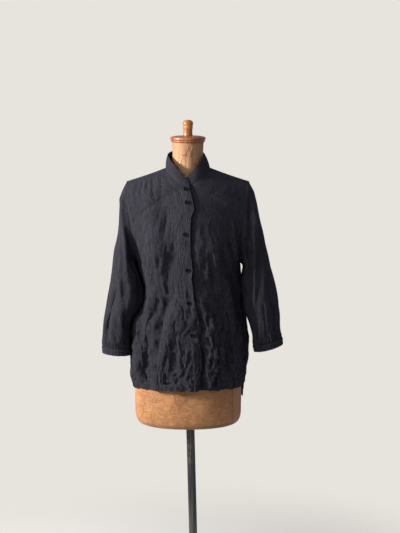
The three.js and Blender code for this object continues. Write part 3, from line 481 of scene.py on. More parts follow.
class Sheet:
    """A grid of points on a sheet of cloth, with the direction out at each, in millimetres."""

    def __init__(self, points: np.ndarray, outward: float, closed: bool = False) -> None:
        """Keeps the grid.

        Args:
            points: Rows by columns by 3.
            outward: 1 or -1, which turns the grid's own normals out.
            closed: Whether the last column joins the first.
        """
        self.points = points
        self.outward = outward
        self.closed = closed
        self.directions = self.normals()

    def normals(self) -> np.ndarray:
        """Unit normals: the cross product of the differences along columns and along rows.

        Returns:
            Directions out, one for each point.
        """
        p = self.points
        if self.closed:
            across = np.roll(p, -1, axis=1) - np.roll(p, 1, axis=1)
        else:
            across = np.gradient(p, axis=1)
        return unit(np.cross(across, np.gradient(p, axis=0))) * self.outward

    def lifted(self, height: np.ndarray) -> "Sheet":
        """The same sheet with every point moved out by its height."""
        return Sheet(self.points + self.directions * height[..., None], self.outward, self.closed)

    def runs(self) -> tuple[np.ndarray, np.ndarray]:
        """Distances over the cloth: sums of the steps from point to point.

        Returns:
            The distance across from the first column, and up from the first row, in millimetres.
        """
        across = np.linalg.norm(np.diff(self.points, axis=1), axis=-1)
        up = np.linalg.norm(np.diff(self.points, axis=0), axis=-1)
        rows, columns = self.points.shape[:2]
        u = np.concatenate([np.zeros((rows, 1)), np.cumsum(across, axis=1)], axis=1)
        v = np.concatenate([np.zeros((1, columns)), np.cumsum(up, axis=0)], axis=0)
        return u, v

    def lengths(self) -> tuple[np.ndarray, np.ndarray]:
        """Distances over the cloth from its middle, across and up."""
        u, v = self.runs()
        return u - u.mean(axis=1, keepdims=True), v - v.mean()

    def settled(self) -> "Sheet":
        """The same sheet where the form stands on the base."""
        moved = Sheet(settle(self.points), self.outward, self.closed)
        moved.directions = self.directions
        return moved

    def patch(self, rows: slice, columns: slice, distance: float) -> "Sheet":
        """A part of the sheet, moved out from it, with the same directions.

        Args:
            rows: Which rows.
            columns: Which columns.
            distance: How far out, in millimetres.

        Returns:
            The part.
        """
        moved = self.points + self.directions * distance
        piece = Sheet(moved[rows, columns], self.outward)
        piece.directions = self.directions[rows, columns]
        return piece

    def cells(self) -> np.ndarray:
        """The four corners of each cell as point numbers.

        Returns:
            Cells by 4, turning so that they face out.
        """
        rows, columns = self.points.shape[:2]
        number = np.arange(rows * columns).reshape(rows, columns)
        if self.closed:
            number = np.concatenate([number, number[:, :1]], axis=1)
        corners = [number[:-1, :-1], number[:-1, 1:], number[1:, 1:], number[1:, :-1]]
        quads = np.stack(corners, axis=-1).reshape(-1, 4)
        return quads if self.outward > 0 else quads[:, ::-1]

    def rims(self) -> np.ndarray:
        """The free edges of the sheet as pairs of point numbers, in the order of the cells beside them.

        Returns:
            Edges by 2.
        """
        quads = self.cells()
        edges = np.stack([quads, np.roll(quads, -1, axis=1)], axis=-1).reshape(-1, 2)
        key = np.sort(edges, axis=1) @ np.array([self.points.shape[0] * self.points.shape[1], 1])
        _, first, count = np.unique(key, return_index=True, return_counts=True)
        return edges[first[count == 1]]

    def wall(
        self, name: str, thickness: float, cloth_uv: tuple[float, float] = (0.0, 0.0)
    ) -> bpy.types.Object:
        """One closed wall between the sheet and the same sheet moved out.

        Args:
            name: The piece's name.
            thickness: The cloth's thickness in millimetres.
            cloth_uv: Where the piece lies on the cloth, so that each piece has its own part of the weave.

        Returns:
            The piece, with a UV map in centimetres of cloth.
        """
        inner = self.points.reshape(-1, 3)
        outer = inner + self.directions.reshape(-1, 3) * thickness
        skin, quads, rims = len(inner), self.cells(), self.rims()
        sides = np.concatenate([rims[:, ::-1], rims + skin], axis=1)
        faces = np.concatenate([quads + skin, quads[:, ::-1], sides])
        points = np.concatenate([inner, outer])
        u, v = self.lengths()
        uv = np.stack([u, v], axis=-1).reshape(-1, 2) / 10.0 + np.array(cloth_uv)
        return make_mesh(name, points, faces, np.concatenate([uv, uv]))


def make_mesh(
    name: str, points: np.ndarray, faces: np.ndarray, uv: np.ndarray | None = None
) -> bpy.types.Object:
    """Puts a mesh of quads into the scene.

    Args:
        name: The piece's name.
        points: Its points in millimetres, in the object's frame or the form's.
        faces: Four point numbers a face, facing out.
        uv: Cloth coordinates of each point, or None.

    Returns:
        The new object, smooth shaded, sharp where faces meet at more than 50 degrees.
    """
    mesh = bpy.data.meshes.new(name)
    mesh.vertices.add(len(points))
    mesh.vertices.foreach_set("co", (points * MILLIMETRE).astype(np.float32).ravel())
    mesh.loops.add(faces.size)
    mesh.loops.foreach_set("vertex_index", faces.astype(np.int32).ravel())
    mesh.polygons.add(len(faces))
    mesh.polygons.foreach_set("loop_start", np.arange(0, faces.size, faces.shape[1], dtype=np.int32))
    mesh.update(calc_edges=True)
    mesh.validate()
    if uv is not None:
        layer = mesh.uv_layers.new(name="cloth")
        corner = np.empty(len(mesh.loops), np.int32)
        mesh.loops.foreach_get("vertex_index", corner)
        layer.data.foreach_set("uv", uv[corner].astype(np.float32).ravel())
    mesh.shade_smooth()
    mesh.set_sharp_from_angle(angle=SMOOTH_UNDER)
    piece = bpy.data.objects.new(name, mesh)
    bpy.context.scene.collection.objects.link(piece)
    return piece


def settle(points: np.ndarray) -> np.ndarray:
    """Moves points of the dressed form to where it stands on the base."""
    return points + np.array([FORM_STANDS_AT, 0.0, 0.0])


def mitre(*directions: np.ndarray, most: float = 1.5) -> np.ndarray:
    """The direction out along a seam between two pieces: their mean, longer where they meet at an angle.

    Args:
        *directions: The directions out of the two pieces.
        most: How much longer it may be.

    Returns:
        The shared directions.
    """
    first, second = (unit(direction) for direction in directions)
    shared = unit(first + second)
    length = 1.0 / np.maximum((shared * first).sum(axis=-1, keepdims=True), 1.0 / most)
    return shared * length


# Creases seen from the front, as rows of the fields of Crease
BODY_CREASES = [
    (-149, 1404, -158, 1369, 3.0, -0.7), (-134, 1407, -141, 1363, 3.3, -0.8),
    (-120, 1410, -123, 1366, 3.0, -0.7), (-105, 1416, -102, 1345, 3.6, -0.8),
    (-78, 1422, -79, 1333, 3.6, -0.8), (-142, 1404, -149, 1363, 2.7, 0.6),
    (-127, 1407, -132, 1363, 2.7, 0.6), (-112, 1413, -113, 1357, 2.7, 0.6),
    (-90, 1416, -91, 1339, 3.3, 0.7), (-138, 1315, -111, 1327, 5.3, -2.4),
    (-111, 1327, -99, 1339, 4.2, -1.6), (-132, 1306, -105, 1318, 4.2, 1.5),
    (-122, 1232, -115, 1202, 4.2, -1.8), (-104, 1235, -108, 1193, 3.6, -1.6),
    (-113, 1238, -112, 1220, 4.2, 1.4), (-111, 1196, -115, 1154, 4.8, 1.6),
    (-121, 1190, -131, 1117, 5.9, -1.4), (-162, 1256, -151, 1172, 5.9, -2.2),
    (-177, 1291, -160, 1208, 6.5, 1.6), (-151, 1172, -113, 1057, 6.5, 1.4),
    (-85, 1190, -83, 1141, 4.2, -1.2), (-73, 1190, -77, 1132, 3.6, 1.0),
    (-94, 1172, -107, 1057, 5.3, -1.2), (-59, 1147, -65, 1069, 4.8, -1.2), (66, 1208, 78, 1087, 7.1, -1.6),
    (102, 1220, 123, 1102, 7.1, -2.2), (84, 1208, 99, 1081, 5.9, 1.3), (57, 1172, 60, 1117, 4.8, 1.0),
    (130, 1310, 150, 1140, 6.0, 2.2), (123, 1250, 132, 1184, 4.8, -1.2), (51, 1193, 52, 1141, 3.6, -1.0),
    (78, 1190, 81, 1141, 3.3, 0.9), (129, 1147, 166, 965, 7.1, -2.2), (114, 1117, 145, 934, 6.5, 1.5),
    (-68, 1057, -84, 965, 5.9, -1.4), (-47, 1026, -60, 922, 4.8, 1.1), (-113, 1057, -126, 919, 6.5, 1.4),
    (-36, 959, -39, 919, 3.0, -1.4), (-27, 959, -30, 913, 2.7, 1.2), (-15, 953, -12, 903, 3.0, -1.2),
    (-63, 953, -51, 897, 3.0, 1.2), (-54, 903, -63, 835, 3.6, 1.6), (-63, 903, -75, 823, 3.6, -1.6),
    (-42, 903, -51, 854, 3.0, -1.2), (-33, 916, -24, 848, 3.3, 1.3), (-21, 897, -12, 835, 3.3, -1.3),
    (0, 903, -12, 835, 3.3, 1.2), (-36, 801, -6, 841, 3.3, -2.2), (-12, 838, 0, 854, 3.0, -1.6),
    (-39, 814, -12, 848, 3.0, 1.8), (-84, 798, -36, 801, 2.7, -1.6), (-87, 807, -42, 810, 2.7, 1.2),
    (-75, 854, -54, 817, 3.6, 1.3), (-60, 866, -36, 823, 3.6, -1.3), (-6, 817, 9, 872, 3.9, 1.5),
    (12, 897, 21, 848, 4.2, -1.6), (3, 829, 21, 804, 3.6, -1.2), (-120, 897, -139, 817, 4.8, -1.8),
    (-136, 835, -124, 804, 4.2, -1.8), (-108, 885, -127, 798, 4.8, 1.4), (-99, 854, -109, 786, 3.6, -1.0),
    (-152, 996, -163, 866, 6.5, 1.3), (-143, 1002, -147, 903, 5.9, -1.2), (58, 1069, 64, 965, 3.6, -1.3),
    (67, 1069, 76, 959, 3.3, 1.2), (76, 1002, 79, 897, 3.6, -1.3), (85, 934, 88, 872, 3.6, 1.6),
    (76, 916, 73, 835, 3.9, -1.6), (91, 897, 97, 817, 3.6, -1.3), (100, 934, 115, 823, 4.5, 1.3),
    (73, 829, 103, 848, 3.3, -1.2), (103, 848, 124, 798, 3.6, 1.1), (94, 823, 94, 776, 2.7, 2.0),
    (87, 817, 87, 776, 2.7, -1.2), (58, 872, 64, 792, 3.3, 1.2), (121, 965, 145, 835, 5.3, -1.6),
    (130, 897, 158, 798, 4.5, 1.3), (115, 885, 140, 798, 4.2, -1.2), (67, 1057, 49, 996, 3.6, 0.9),
    (147, 1057, 166, 919, 4.2, -1.2), (102, 1057, 127, 965, 5.3, -1.0), (79, 1057, 100, 989, 4.8, 1.2),
    (-17, 1163, -11, 1057, 3.6, -1.0), (-20, 1057, -11, 996, 3.0, -1.4), (-5, 1020, -11, 965, 3.0, 1.1),
    (-11, 977, -3, 903, 3.0, -1.2), (25, 1057, 37, 965, 3.6, 1.2), (16, 959, 34, 928, 3.3, 1.3),
    (13, 946, 28, 913, 3.0, -1.3), (-6, 922, 6, 866, 3.3, 1.2),
    (-116, 1390, -96, 1150, 22, 4.0), (-94, 1235, -98, 1010, 22, 3.2), (-94, 1105, -164, 780, 19, 4.6),
    (-60, 1340, -40, 1160, 24, -3.4), (-41, 1220, -50, 1040, 22, -2.4), (-48, 1090, -124, 775, 17, -4.6),
    (-50, 1040, -95, 800, 13, 2.4), (-30, 960, -62, 790, 12, -1.6),
]
SLEEVE_CREASES = {
    Side.LEFT: [
        (183, 1365, 186, 1286, 5.9, -3.0), (186, 1286, 178, 1214, 6.5, -2.4),
        (198, 1365, 200, 1274, 4.2, 1.8), (199, 1330, 201, 1000, 4.5, 2.4),
        (186, 1330, 188, 1000, 8.0, -3.0),
        (211, 1274, 229, 1165, 4.8, -1.2), (214, 1232, 215, 1104, 4.2, -1.8),
        (223, 1202, 230, 1049, 4.5, 1.3), (209, 1104, 213, 956, 4.8, -1.5),
        (236, 1141, 255, 1018, 4.5, -1.4), (227, 1049, 238, 925, 4.2, -1.6),
        (246, 1049, 259, 937, 4.2, 1.3), (216, 987, 222, 912, 3.6, 1.3), (231, 993, 232, 912, 3.6, 1.0),
        (261, 993, 265, 919, 3.3, -1.3), (249, 956, 256, 906, 3.0, 1.2), (204, 956, 210, 900, 3.6, -1.4),
        (206, 1049, 198, 987, 3.6, -1.0), (193, 1232, 194, 1095, 4.8, -1.6),
        (218, 1147, 206, 1079, 4.2, 0.9), (194, 1170, 208, 890, 11.0, -1.8),
        (222, 1190, 240, 900, 10.0, 1.4),
    ],
    Side.RIGHT: [
        (-184, 1377, -188, 1347, 3.6, -2.5), (-188, 1350, -170, 1296, 3.9, -2.5),
        (-170, 1296, -163, 1220, 4.5, -2.0), (-196, 1365, -200, 1262, 4.8, 1.6),
        (-182, 1335, -174, 1244, 4.8, 1.8), (-202, 1232, -202, 1125, 4.8, 2.2),
        (-202, 1125, -197, 1033, 4.8, 2.2), (-208, 1089, -228, 1040, 6.0, -3.6),
        (-222, 1056, -246, 980, 6.5, -3.4), (-226, 1165, -239, 1049, 4.8, -1.3),
        (-213, 1202, -230, 1079, 4.2, 1.2), (-246, 993, -253, 906, 4.2, -1.4),
        (-230, 1012, -232, 909, 6.5, 1.6), (-212, 1018, -219, 909, 4.8, -1.3),
        (-200, 1012, -204, 925, 4.8, 1.2), (-188, 1049, -195, 956, 5.9, -1.8),
        (-255, 956, -256, 906, 3.0, 1.0), (-237, 987, -219, 931, 3.6, -1.0),
        (-201, 937, -189, 906, 3.0, -1.2), (-250, 919, -232, 894, 2.7, -1.1),
        (-219, 912, -201, 894, 2.7, -1.3), (-205, 1170, -207, 895, 13.0, 3.6),
        (-242, 1040, -248, 915, 9.0, -3.8), (-178, 1370, -176, 1090, 8.0, -1.6),
    ],
}


@dataclass(frozen=True)
class Crease:
    """A crease seen from the front: a straight line in x and z, ridge or trough, in millimetres."""

    from_x: float
    from_z: float
    to_x: float
    to_z: float
    wide: float
    rise: float


def creased(points: np.ndarray, rows: Sequence[tuple]) -> np.ndarray:
    """Height of the creases at each point, measured in the plane of x and z.

    Each is rise * bell(distance from its line, wide), and the ends taper over the last sixth.

    Args:
        points: The points.
        rows: The creases, as rows of the fields of Crease.

    Returns:
        Heights in millimetres.
    """
    x, z = points[..., 0], points[..., 2]
    total = np.zeros(x.shape)
    for crease in (Crease(*row) for row in rows):
        run_x, run_z = crease.to_x - crease.from_x, crease.to_z - crease.from_z
        squared = run_x**2 + run_z**2
        along = ((x - crease.from_x) * run_x + (z - crease.from_z) * run_z) / squared
        held = np.clip(along, 0, 1)
        away = np.hypot(x - crease.from_x - held * run_x, z - crease.from_z - held * run_z)
        ends = ease(held, -0.05, 0.22) * (1 - ease(held, 0.78, 1.05))
        total += crease.rise * bell(away, crease.wide) * ends
    return total


@dataclass
class Shirt:
    """The shirt: two fronts, a back, two sleeves with cuffs, a placket, a collar and six buttons."""

    pattern: Pattern = field(default_factory=Pattern)
    cloth: float = 1.3
    seam_gap: float = 0.3
    cuff_depth: float = 20.0
    collar_cloth: float = 1.6
    cuff_cloth: float = 2.0
    hem_rows: int = 10
    hem_stitches: float = 20.0
    level_rows: int = 112
    shoulder_steps: int = 78
    placket_columns: int = 12
    front_columns: int = 70
    back_columns: int = 76
    sleeve_rows: int = 150
    button_radius: float = 5.8
    button_thick: float = 2.6
    buttons: tuple = ((1388, 12), (1349, 19), (1258, 15), (1150, 15), (1048, 17), (953, 21))
    crumple: Crumple = field(default_factory=lambda: Crumple(7))
    sheets: dict[str, Sheet] = field(default_factory=dict)

    def rows_of(self, face: Face) -> tuple[np.ndarray, np.ndarray, np.ndarray]:
        """Share of the way up from the hem, height and shoulder step of every row of a panel.

        Args:
            face: Front or back.

        Returns:
            The three, each with one number a row.
        """
        p = self.pattern
        foot = p.back_row if face is Face.BACK else p.shared_row
        low = 2 * self.hem_rows if face is Face.BACK else self.hem_rows
        between = np.linspace(p.back_row, p.shared_row, 9)[:-1] if face is Face.BACK else np.empty(0)
        level = np.linspace(p.shared_row, p.underarm, self.level_rows + 1)
        fan = np.arange(1, self.shoulder_steps + 1) * p.shoulder_rows / self.shoulder_steps
        flat = len(between) + len(level)
        share = np.concatenate([np.linspace(0, 1, low + 1)[:-1], np.ones(flat + len(fan))])
        z = np.concatenate([np.full(low, foot), between, level, np.full(len(fan), p.underarm)])
        return share, z, np.concatenate([np.zeros(low + flat), fan])

    def half(self, face: Face, side: Side, q: np.ndarray) -> np.ndarray:
        """Points of half a body panel.

        Args:
            face: Front or back.
            side: Right or left.
            q: For each row and column, how far it is from the centre line to the side seam.

        Returns:
            Points: those of the pattern's rows, moved out along the girth by the folds.
        """
        p = self.pattern
        share, z_row, step = self.rows_of(face)
        hem = HEMS[face].read(side.word, np.abs(q))
        z = lerp(hem, z_row[:, None], share[:, None])
        steps = np.broadcast_to(step[:, None], q.shape)
        middle, end, soft = p.row(face, side, z, steps)
        points = p.row_point(middle, end, soft, q)
        girth = 90.0 * q * side.value
        if face is Face.BACK:
            girth = side.value * 180.0 - girth
        neck_fade = 1 - ease(steps, 5, p.shoulder_rows)
        arm_fade = lerp(1.0, 1 - ease(q, 0.7, 1), np.clip(steps, 0, 1))
        radius = (np.abs(end[..., 0]) + np.abs(middle[..., 1])) / 2
        rise = p.body_folds(girth, points[..., 2], radius) * neck_fade * arm_fade
        turn = np.radians(girth)
        points[..., 0] += np.sin(turn) * rise
        points[..., 1] -= np.cos(turn) * rise
        vent = (1 - ease(points[..., 2], 730, 850)) * ease(q, 0.85, 1)
        points[..., 1] += face.value * 4.0 * vent
        return points

    def front_q(self, side: Side) -> np.ndarray:
        """Places of a front panel's columns: even ones under the placket, then even ones to the side.

        Args:
            side: Right or left front.

        Returns:
            Rows by columns, 0 on the centre line and 1 at the side seam.
        """
        p = self.pattern
        share, z_row, step = self.rows_of(Face.FRONT)
        hem = HEMS[Face.FRONT].read(side.word, np.zeros(len(z_row)))
        middle, end, soft = p.row(Face.FRONT, side, lerp(hem, z_row, share), step)
        reach = np.abs(end[:, 0] - middle[:, 0]) * lerp(math.pi / 2, 1.0, soft)
        edge = PLACKET_EDGE.read("x", middle[:, 2])
        edge = edge if side is Side.RIGHT else p.placket_width - edge
        edge = edge * (1 - np.clip(step - (p.shoulder_rows - p.front_neck_rows), 0, 1))
        start = -edge / reach
        inner = start + p.placket_width / reach
        under = lerp(start[:, None], inner[:, None], np.linspace(0, 1, self.placket_columns + 1)[None, :-1])
        rest = lerp(inner[:, None], 1.0, np.linspace(0, 1, self.front_columns + 1)[None])
        return np.concatenate([under, rest], axis=1)

    def relief(self, sheet: Sheet, seed: float, strong: np.ndarray) -> np.ndarray:
        """The crumple of washed cloth: branching ridges stretched along the warp, and softer dents.

        Args:
            sheet: The sheet it lies on.
            seed: Shifts the pattern so that pieces differ.
            strong: How strong it is at each point.

        Returns:
            Heights in millimetres.
        """
        u, v = sheet.lengths()
        bend = 5.0 * self.crumple.value(u / 60 + seed, v / 70 - seed)
        fine = self.crumple.creases((u + bend) / 11.0 + seed, v / 34.0 + 2 * seed)
        long = self.crumple.creases((u - bend) / 24.0 - seed, v / 85.0 + seed, 1)
        dents = self.crumple.value(u / 30.0 + 3 * seed, v / 42.0 + seed)
        return (2.1 * fine + 1.8 * long + 2.2 * dents) * strong

    def fronts(self) -> None:
        """Works out the two front panels, with the creases that the shirt has in wear."""
        p = self.pattern
        step = self.rows_of(Face.FRONT)[2][:, None]
        for side in Side:
            q = self.front_q(side)
            points = self.half(Face.FRONT, side, q)
            self.part_at_placket(side, points)
            x, z = points[..., 0], points[..., 2]
            plain = Sheet(points, side.value)
            seams = (1 - ease(q, 0.86, 0.99)) * (1 - ease(step, p.shoulder_rows - 1.6, p.shoulder_rows))
            seams = seams * (1 - ease(step, 3.5, 6.0) * (1 - ease(q, 0.02, 0.2)))
            hem_crumple, deep = (1.1, 2.1) if side is Side.RIGHT else (1.7, 3.0)
            strong = 0.5 + hem_crumple * bell(z - 860, 190) + 0.35 * bell(x + 10, 60)
            smooth = lerp(1.0, 0.35, ease(z, 1200, 1320)) if side is Side.LEFT else 1.0
            strong = strong * lerp(1.0, 0.55, ease(z, 1330, 1400)) * smooth
            height = self.relief(plain, 3.1 * side.value, strong) + deep * creased(points, BODY_CREASES)
            height = height * seams
            if side is Side.RIGHT:
                height = height * self.flat_under_buttons(points)
            height -= self.hem_groove(z - HEMS[Face.FRONT].read(side.word, np.abs(q)))
            height = self.clear_of_underlap(side, height, q)
            self.sheets["front_" + side.word] = plain.lifted(height)

    def part_at_placket(self, side: Side, points: np.ndarray) -> None:
        """Parts the fronts along the placket's edge, where the light falls between them.

        Args:
            side: Which front. The left falls back 5.5 mm behind the edge with an eased step 18 mm wide, and
                the right stands off by 2.2 * bell(distance from the edge, 9) under the collar.
            points: Its points, which are moved.
        """
        x, z = points[..., 0], points[..., 2]
        edge = PLACKET_EDGE.read("x", z)
        if side is Side.LEFT:
            under = 1 - np.clip((x - edge - 5) / 18.0, 0, 1)
            points[..., 1] += 5.5 * under * under * (3 - 2 * under)
        else:
            points[..., 1] -= 2.2 * bell(edge - x, 9) * ease(z, 1395, 1340)

    def hem_groove(self, above: np.ndarray) -> np.ndarray:
        """Depth of the groove that the hem's stitches pull, at a height above the hem: 0.9 * bell."""
        return 0.9 * bell(above - self.hem_stitches, 2.6)

    def flat_under_buttons(self, points: np.ndarray) -> np.ndarray:
        """The share of the creases' height that is left, nothing under each button that holds the cloth.

        Args:
            points: The right front's points.

        Returns:
            A share for each point, the product of 1 - bell(distance from a button, 13).
        """
        share = np.ones(points.shape[:2])
        for height, from_edge in self.buttons:
            across = points[..., 0] - PLACKET_EDGE.read("x", np.full(share.shape, height)) + from_edge
            share *= 1 - bell(np.hypot(across, points[..., 2] - height), 13)
        return share

    def clear_of_underlap(self, side: Side, height: np.ndarray, q: np.ndarray) -> np.ndarray:
        """Keeps the under layer from rising into the front that laps over it.

        Args:
            side: Which front.
            height: The creases' height.
            q: Places of the columns.

        Returns:
            The height, held back beside the placket.
        """
        if side is Side.RIGHT:
            return np.where(q < 0.1, np.maximum(height, -0.6), height)
        return np.where(q < 0.02, np.minimum(height, 0.0) * 0.4, height)

    def back(self) -> None:
        """Works out the back, one panel from side seam to side seam, parted for the neck."""
        half = np.linspace(0, 1, self.back_columns + 1)
        rows = len(self.rows_of(Face.BACK)[0])
        left = self.half(Face.BACK, Side.LEFT, np.broadcast_to(half[None, ::-1], (rows, len(half))))
        right = self.half(Face.BACK, Side.RIGHT, np.broadcast_to(half[None], (rows, len(half))))
        for word, points, q in (("back_left", left, half[::-1]), ("back_right", right, half)):
            plain = Sheet(points, 1)
            step = self.rows_of(Face.BACK)[2][:, None]
            fade = (1 - ease(q, 0.95, 1)) * ease(q, 0.0, 0.06)
            fade = fade * (1 - ease(step, self.pattern.shoulder_rows - 4.5, self.pattern.shoulder_rows - 1))
            seed = 5.7 if word == "back_left" else 8.3
            height = self.relief(plain, seed, np.full((1, len(q)), 0.65)) * fade
            height -= self.hem_groove(points[..., 2] - HEMS[Face.BACK].read(word.split("_")[1], q))
            self.sheets[word] = plain.lifted(height)

    def sleeves(self) -> None:
        """Works out the sleeves: closed rings with folds, elbow creases and light gathers at the cuff."""
        turn = np.arange(2 * self.shoulder_steps) * math.pi / self.shoulder_steps
        share = np.linspace(0, 1, self.sleeve_rows + 1)
        for side in Side:
            base = self.pattern.sleeve_point(side, share[:, None], turn[None])
            plain = Sheet(base, side.value, closed=True)
            rise = self.pattern.sleeve_folds(side, np.degrees(turn)[None], share[:, None])
            folded = base + plain.directions * rise[..., None]
            folded[0, :, 0] += side.value * 0.5
            sheet = Sheet(folded, side.value, closed=True)
            front = ease(np.sin(turn), 0.05, 0.3)[None]
            ends = ease(share, 0.0, 0.04)[:, None] * (1 - ease(share, 0.985, 1.0))[:, None]
            marks = 2.0 * creased(folded, SLEEVE_CREASES[side]) * front
            across, ahead, along = np.cos(turn)[None], np.sin(turn)[None], share[:, None]
            crumple = 0.7 * self.crumple.creases(3 * across + 11 * side.value, 3 * ahead + along * 7)
            crumple += 1.3 * self.crumple.value(2.6 * across - 4 * side.value, 2.6 * ahead + along * 11)
            gathers = 1.6 * np.cos(turn * 34 + 2 * np.sin(turn * 3))[None] * ease(along, 0.93, 0.99)
            height = (marks + crumple + gathers) * ends
            self.sheets["sleeve_" + side.word] = sheet.lifted(height)

    def cuffs(self) -> None:
        """Works out the cuff bands, which carry the sleeves on in line under a seam."""
        for side in Side:
            sleeve = self.sheets["sleeve_" + side.word]
            before, last = sleeve.points[-10], sleeve.points[-1]
            down = unit(last.mean(axis=0) - before.mean(axis=0))
            share = np.linspace(0, 1, 11)
            steps = self.seam_gap + 0.1 + self.cuff_depth * share
            points = last[None] + down * steps[:, None, None]
            turn = np.linspace(0, 2 * math.pi, last.shape[0], endpoint=False)
            pucker = 0.5 * np.cos(turn * 29 + side.value)[None] * np.sin(share * math.pi)[:, None]
            roll = 1.2 * bell(share - 0.22, 0.16)[:, None]
            cuff = Sheet(points, side.value, closed=True).lifted(pucker + roll)
            cuff.directions = np.broadcast_to(sleeve.directions[-1][None], cuff.points.shape).copy()
            self.sheets["cuff_" + side.word] = cuff

    def collar(self) -> None:
        """Works out the standing collar: from the neckline up to a lip that falls in a V to the front."""
        turns = np.linspace(0, math.pi, 88)
        share = np.linspace(0, 1, 15)[:, None]
        halves = []
        for side in Side:
            low = self.pattern.neckline(side, turns)
            low[:, 2] += self.seam_gap + 1.4 * (0.85 + 0.15 * np.sin(turns))
            low[:, 2] -= 3.0 * (1 - ease(turns, 0.45, 0.95))
            across, along = np.sin(turns), np.cos(turns)
            front = along > 0
            fall = np.where(front, 1 - np.clip(across, 0, 1) ** 1.1, np.abs(along))
            reach = 60.0 if side is Side.RIGHT else 49.5
            top = np.stack(
                [
                    side.value * reach * across - 3 * np.maximum(along, 0),
                    3 + (np.where(front, -74.0, 56.0) - 3) * np.abs(along),
                    1483 + (np.where(front, 1413.0, 1497.0) - 1483) * fall,
                ],
                axis=-1,
            )
            points = lerp(low[None], top[None], share[..., None])
            bow = 2.5 * np.sin(math.pi * share) * np.sin(turns)[None]
            points[..., 0] += side.value * np.sin(turns) * bow
            points[..., 1] -= np.cos(turns) * bow
            layer = 1 - (ease(turns, 0.3, 1.1) if side is Side.RIGHT else ease(turns, 0, 0.9))
            points[..., 1] += (-1.8 if side is Side.RIGHT else 4.2) * layer
            tip = 1 - np.clip(turns / (math.pi / 12), 0, 1)
            points[..., 0] += (5.0 if side is Side.RIGHT else -9.0) * tip
            halves.append(points)
        joined = np.concatenate([halves[0], halves[1][:, ::-1][:, 1:]], axis=1)
        sheet = Sheet(joined, -1)
        u, v = sheet.lengths()
        wave = 0.5 * self.crumple.creases(u / 9, v / 14 + 40) + 0.9 * self.crumple.value(u / 17, v / 22)
        ends = ease(np.abs(np.linspace(-1, 1, joined.shape[1])), 1.0, 0.9)[None]
        belly = np.sin(math.pi * np.clip(share, 0.1, 0.95))
        self.sheets["collar"] = sheet.lifted(wave * 0.7 * ends * belly)

    def share_seams(self) -> None:
        """Gives the pieces that meet along a seam the same directions out, so that their walls meet."""
        fan, level = self.shoulder_steps, self.level_rows
        for side in Side:
            front = self.sheets["front_" + side.word].directions
            rear = self.sheets["back_" + side.word].directions
            sleeve = self.sheets["sleeve_" + side.word].directions
            edge = 0 if side is Side.LEFT else -1
            sides = slice(-1 - fan - level, -fan)
            front[sides, -1] = rear[sides, edge] = mitre(front[sides, -1], rear[sides, edge])
            up = np.array([side.value * 35.0 / 118.0, 0.0, 1.0])
            front[-1], rear[-1] = up, up
            steps = np.arange(fan + 1)
            rows = np.arange(-1 - fan, 0)
            fore, aft = sleeve[0, fan - steps], sleeve[0, (fan + steps) % (2 * fan)]
            front_edge = mitre(front[rows, -1], fore)
            rear_edge = mitre(rear[rows, edge], aft)
            front[rows, -1], rear[rows, edge] = front_edge, rear_edge
            sleeve[0, fan - steps] = front_edge
            sleeve[0, (fan + steps) % (2 * fan)] = rear_edge

    def work_out(self) -> None:
        """Works out every sheet of the shirt."""
        self.fronts()
        self.back()
        self.sleeves()
        self.cuffs()
        self.collar()
        self.share_seams()
        p = self.pattern
        under_neck = int(self.shoulder_steps * p.front_neck_rows / p.shoulder_rows)
        rows = len(self.rows_of(Face.FRONT)[0]) - under_neck
        self.sheets["placket"] = self.sheets["front_right"].patch(
            slice(0, rows), slice(0, self.placket_columns + 1), self.cloth + self.seam_gap
        )

    def button_seat(self, height: float, from_edge: float) -> tuple[np.ndarray, np.ndarray]:
        """The place and direction of a button on the placket, at a height and a step in from its edge.

        Args:
            height: The button's height.
            from_edge: How far in from the edge.

        Returns:
            The place and the direction.
        """
        sheet = self.sheets["front_right"]
        column = from_edge / self.pattern.placket_width * self.placket_columns
        low, share = int(column), column - int(column)
        line = lerp(sheet.points[:, low], sheet.points[:, low + 1], share)
        row = int(np.argmin(np.abs(line[:, 2] - height)))
        direction = unit(lerp(sheet.directions[row, low], sheet.directions[row, low + 1], share))
        stack = 2 * self.cloth + self.seam_gap + 0.9
        return line[row] + direction * stack, direction


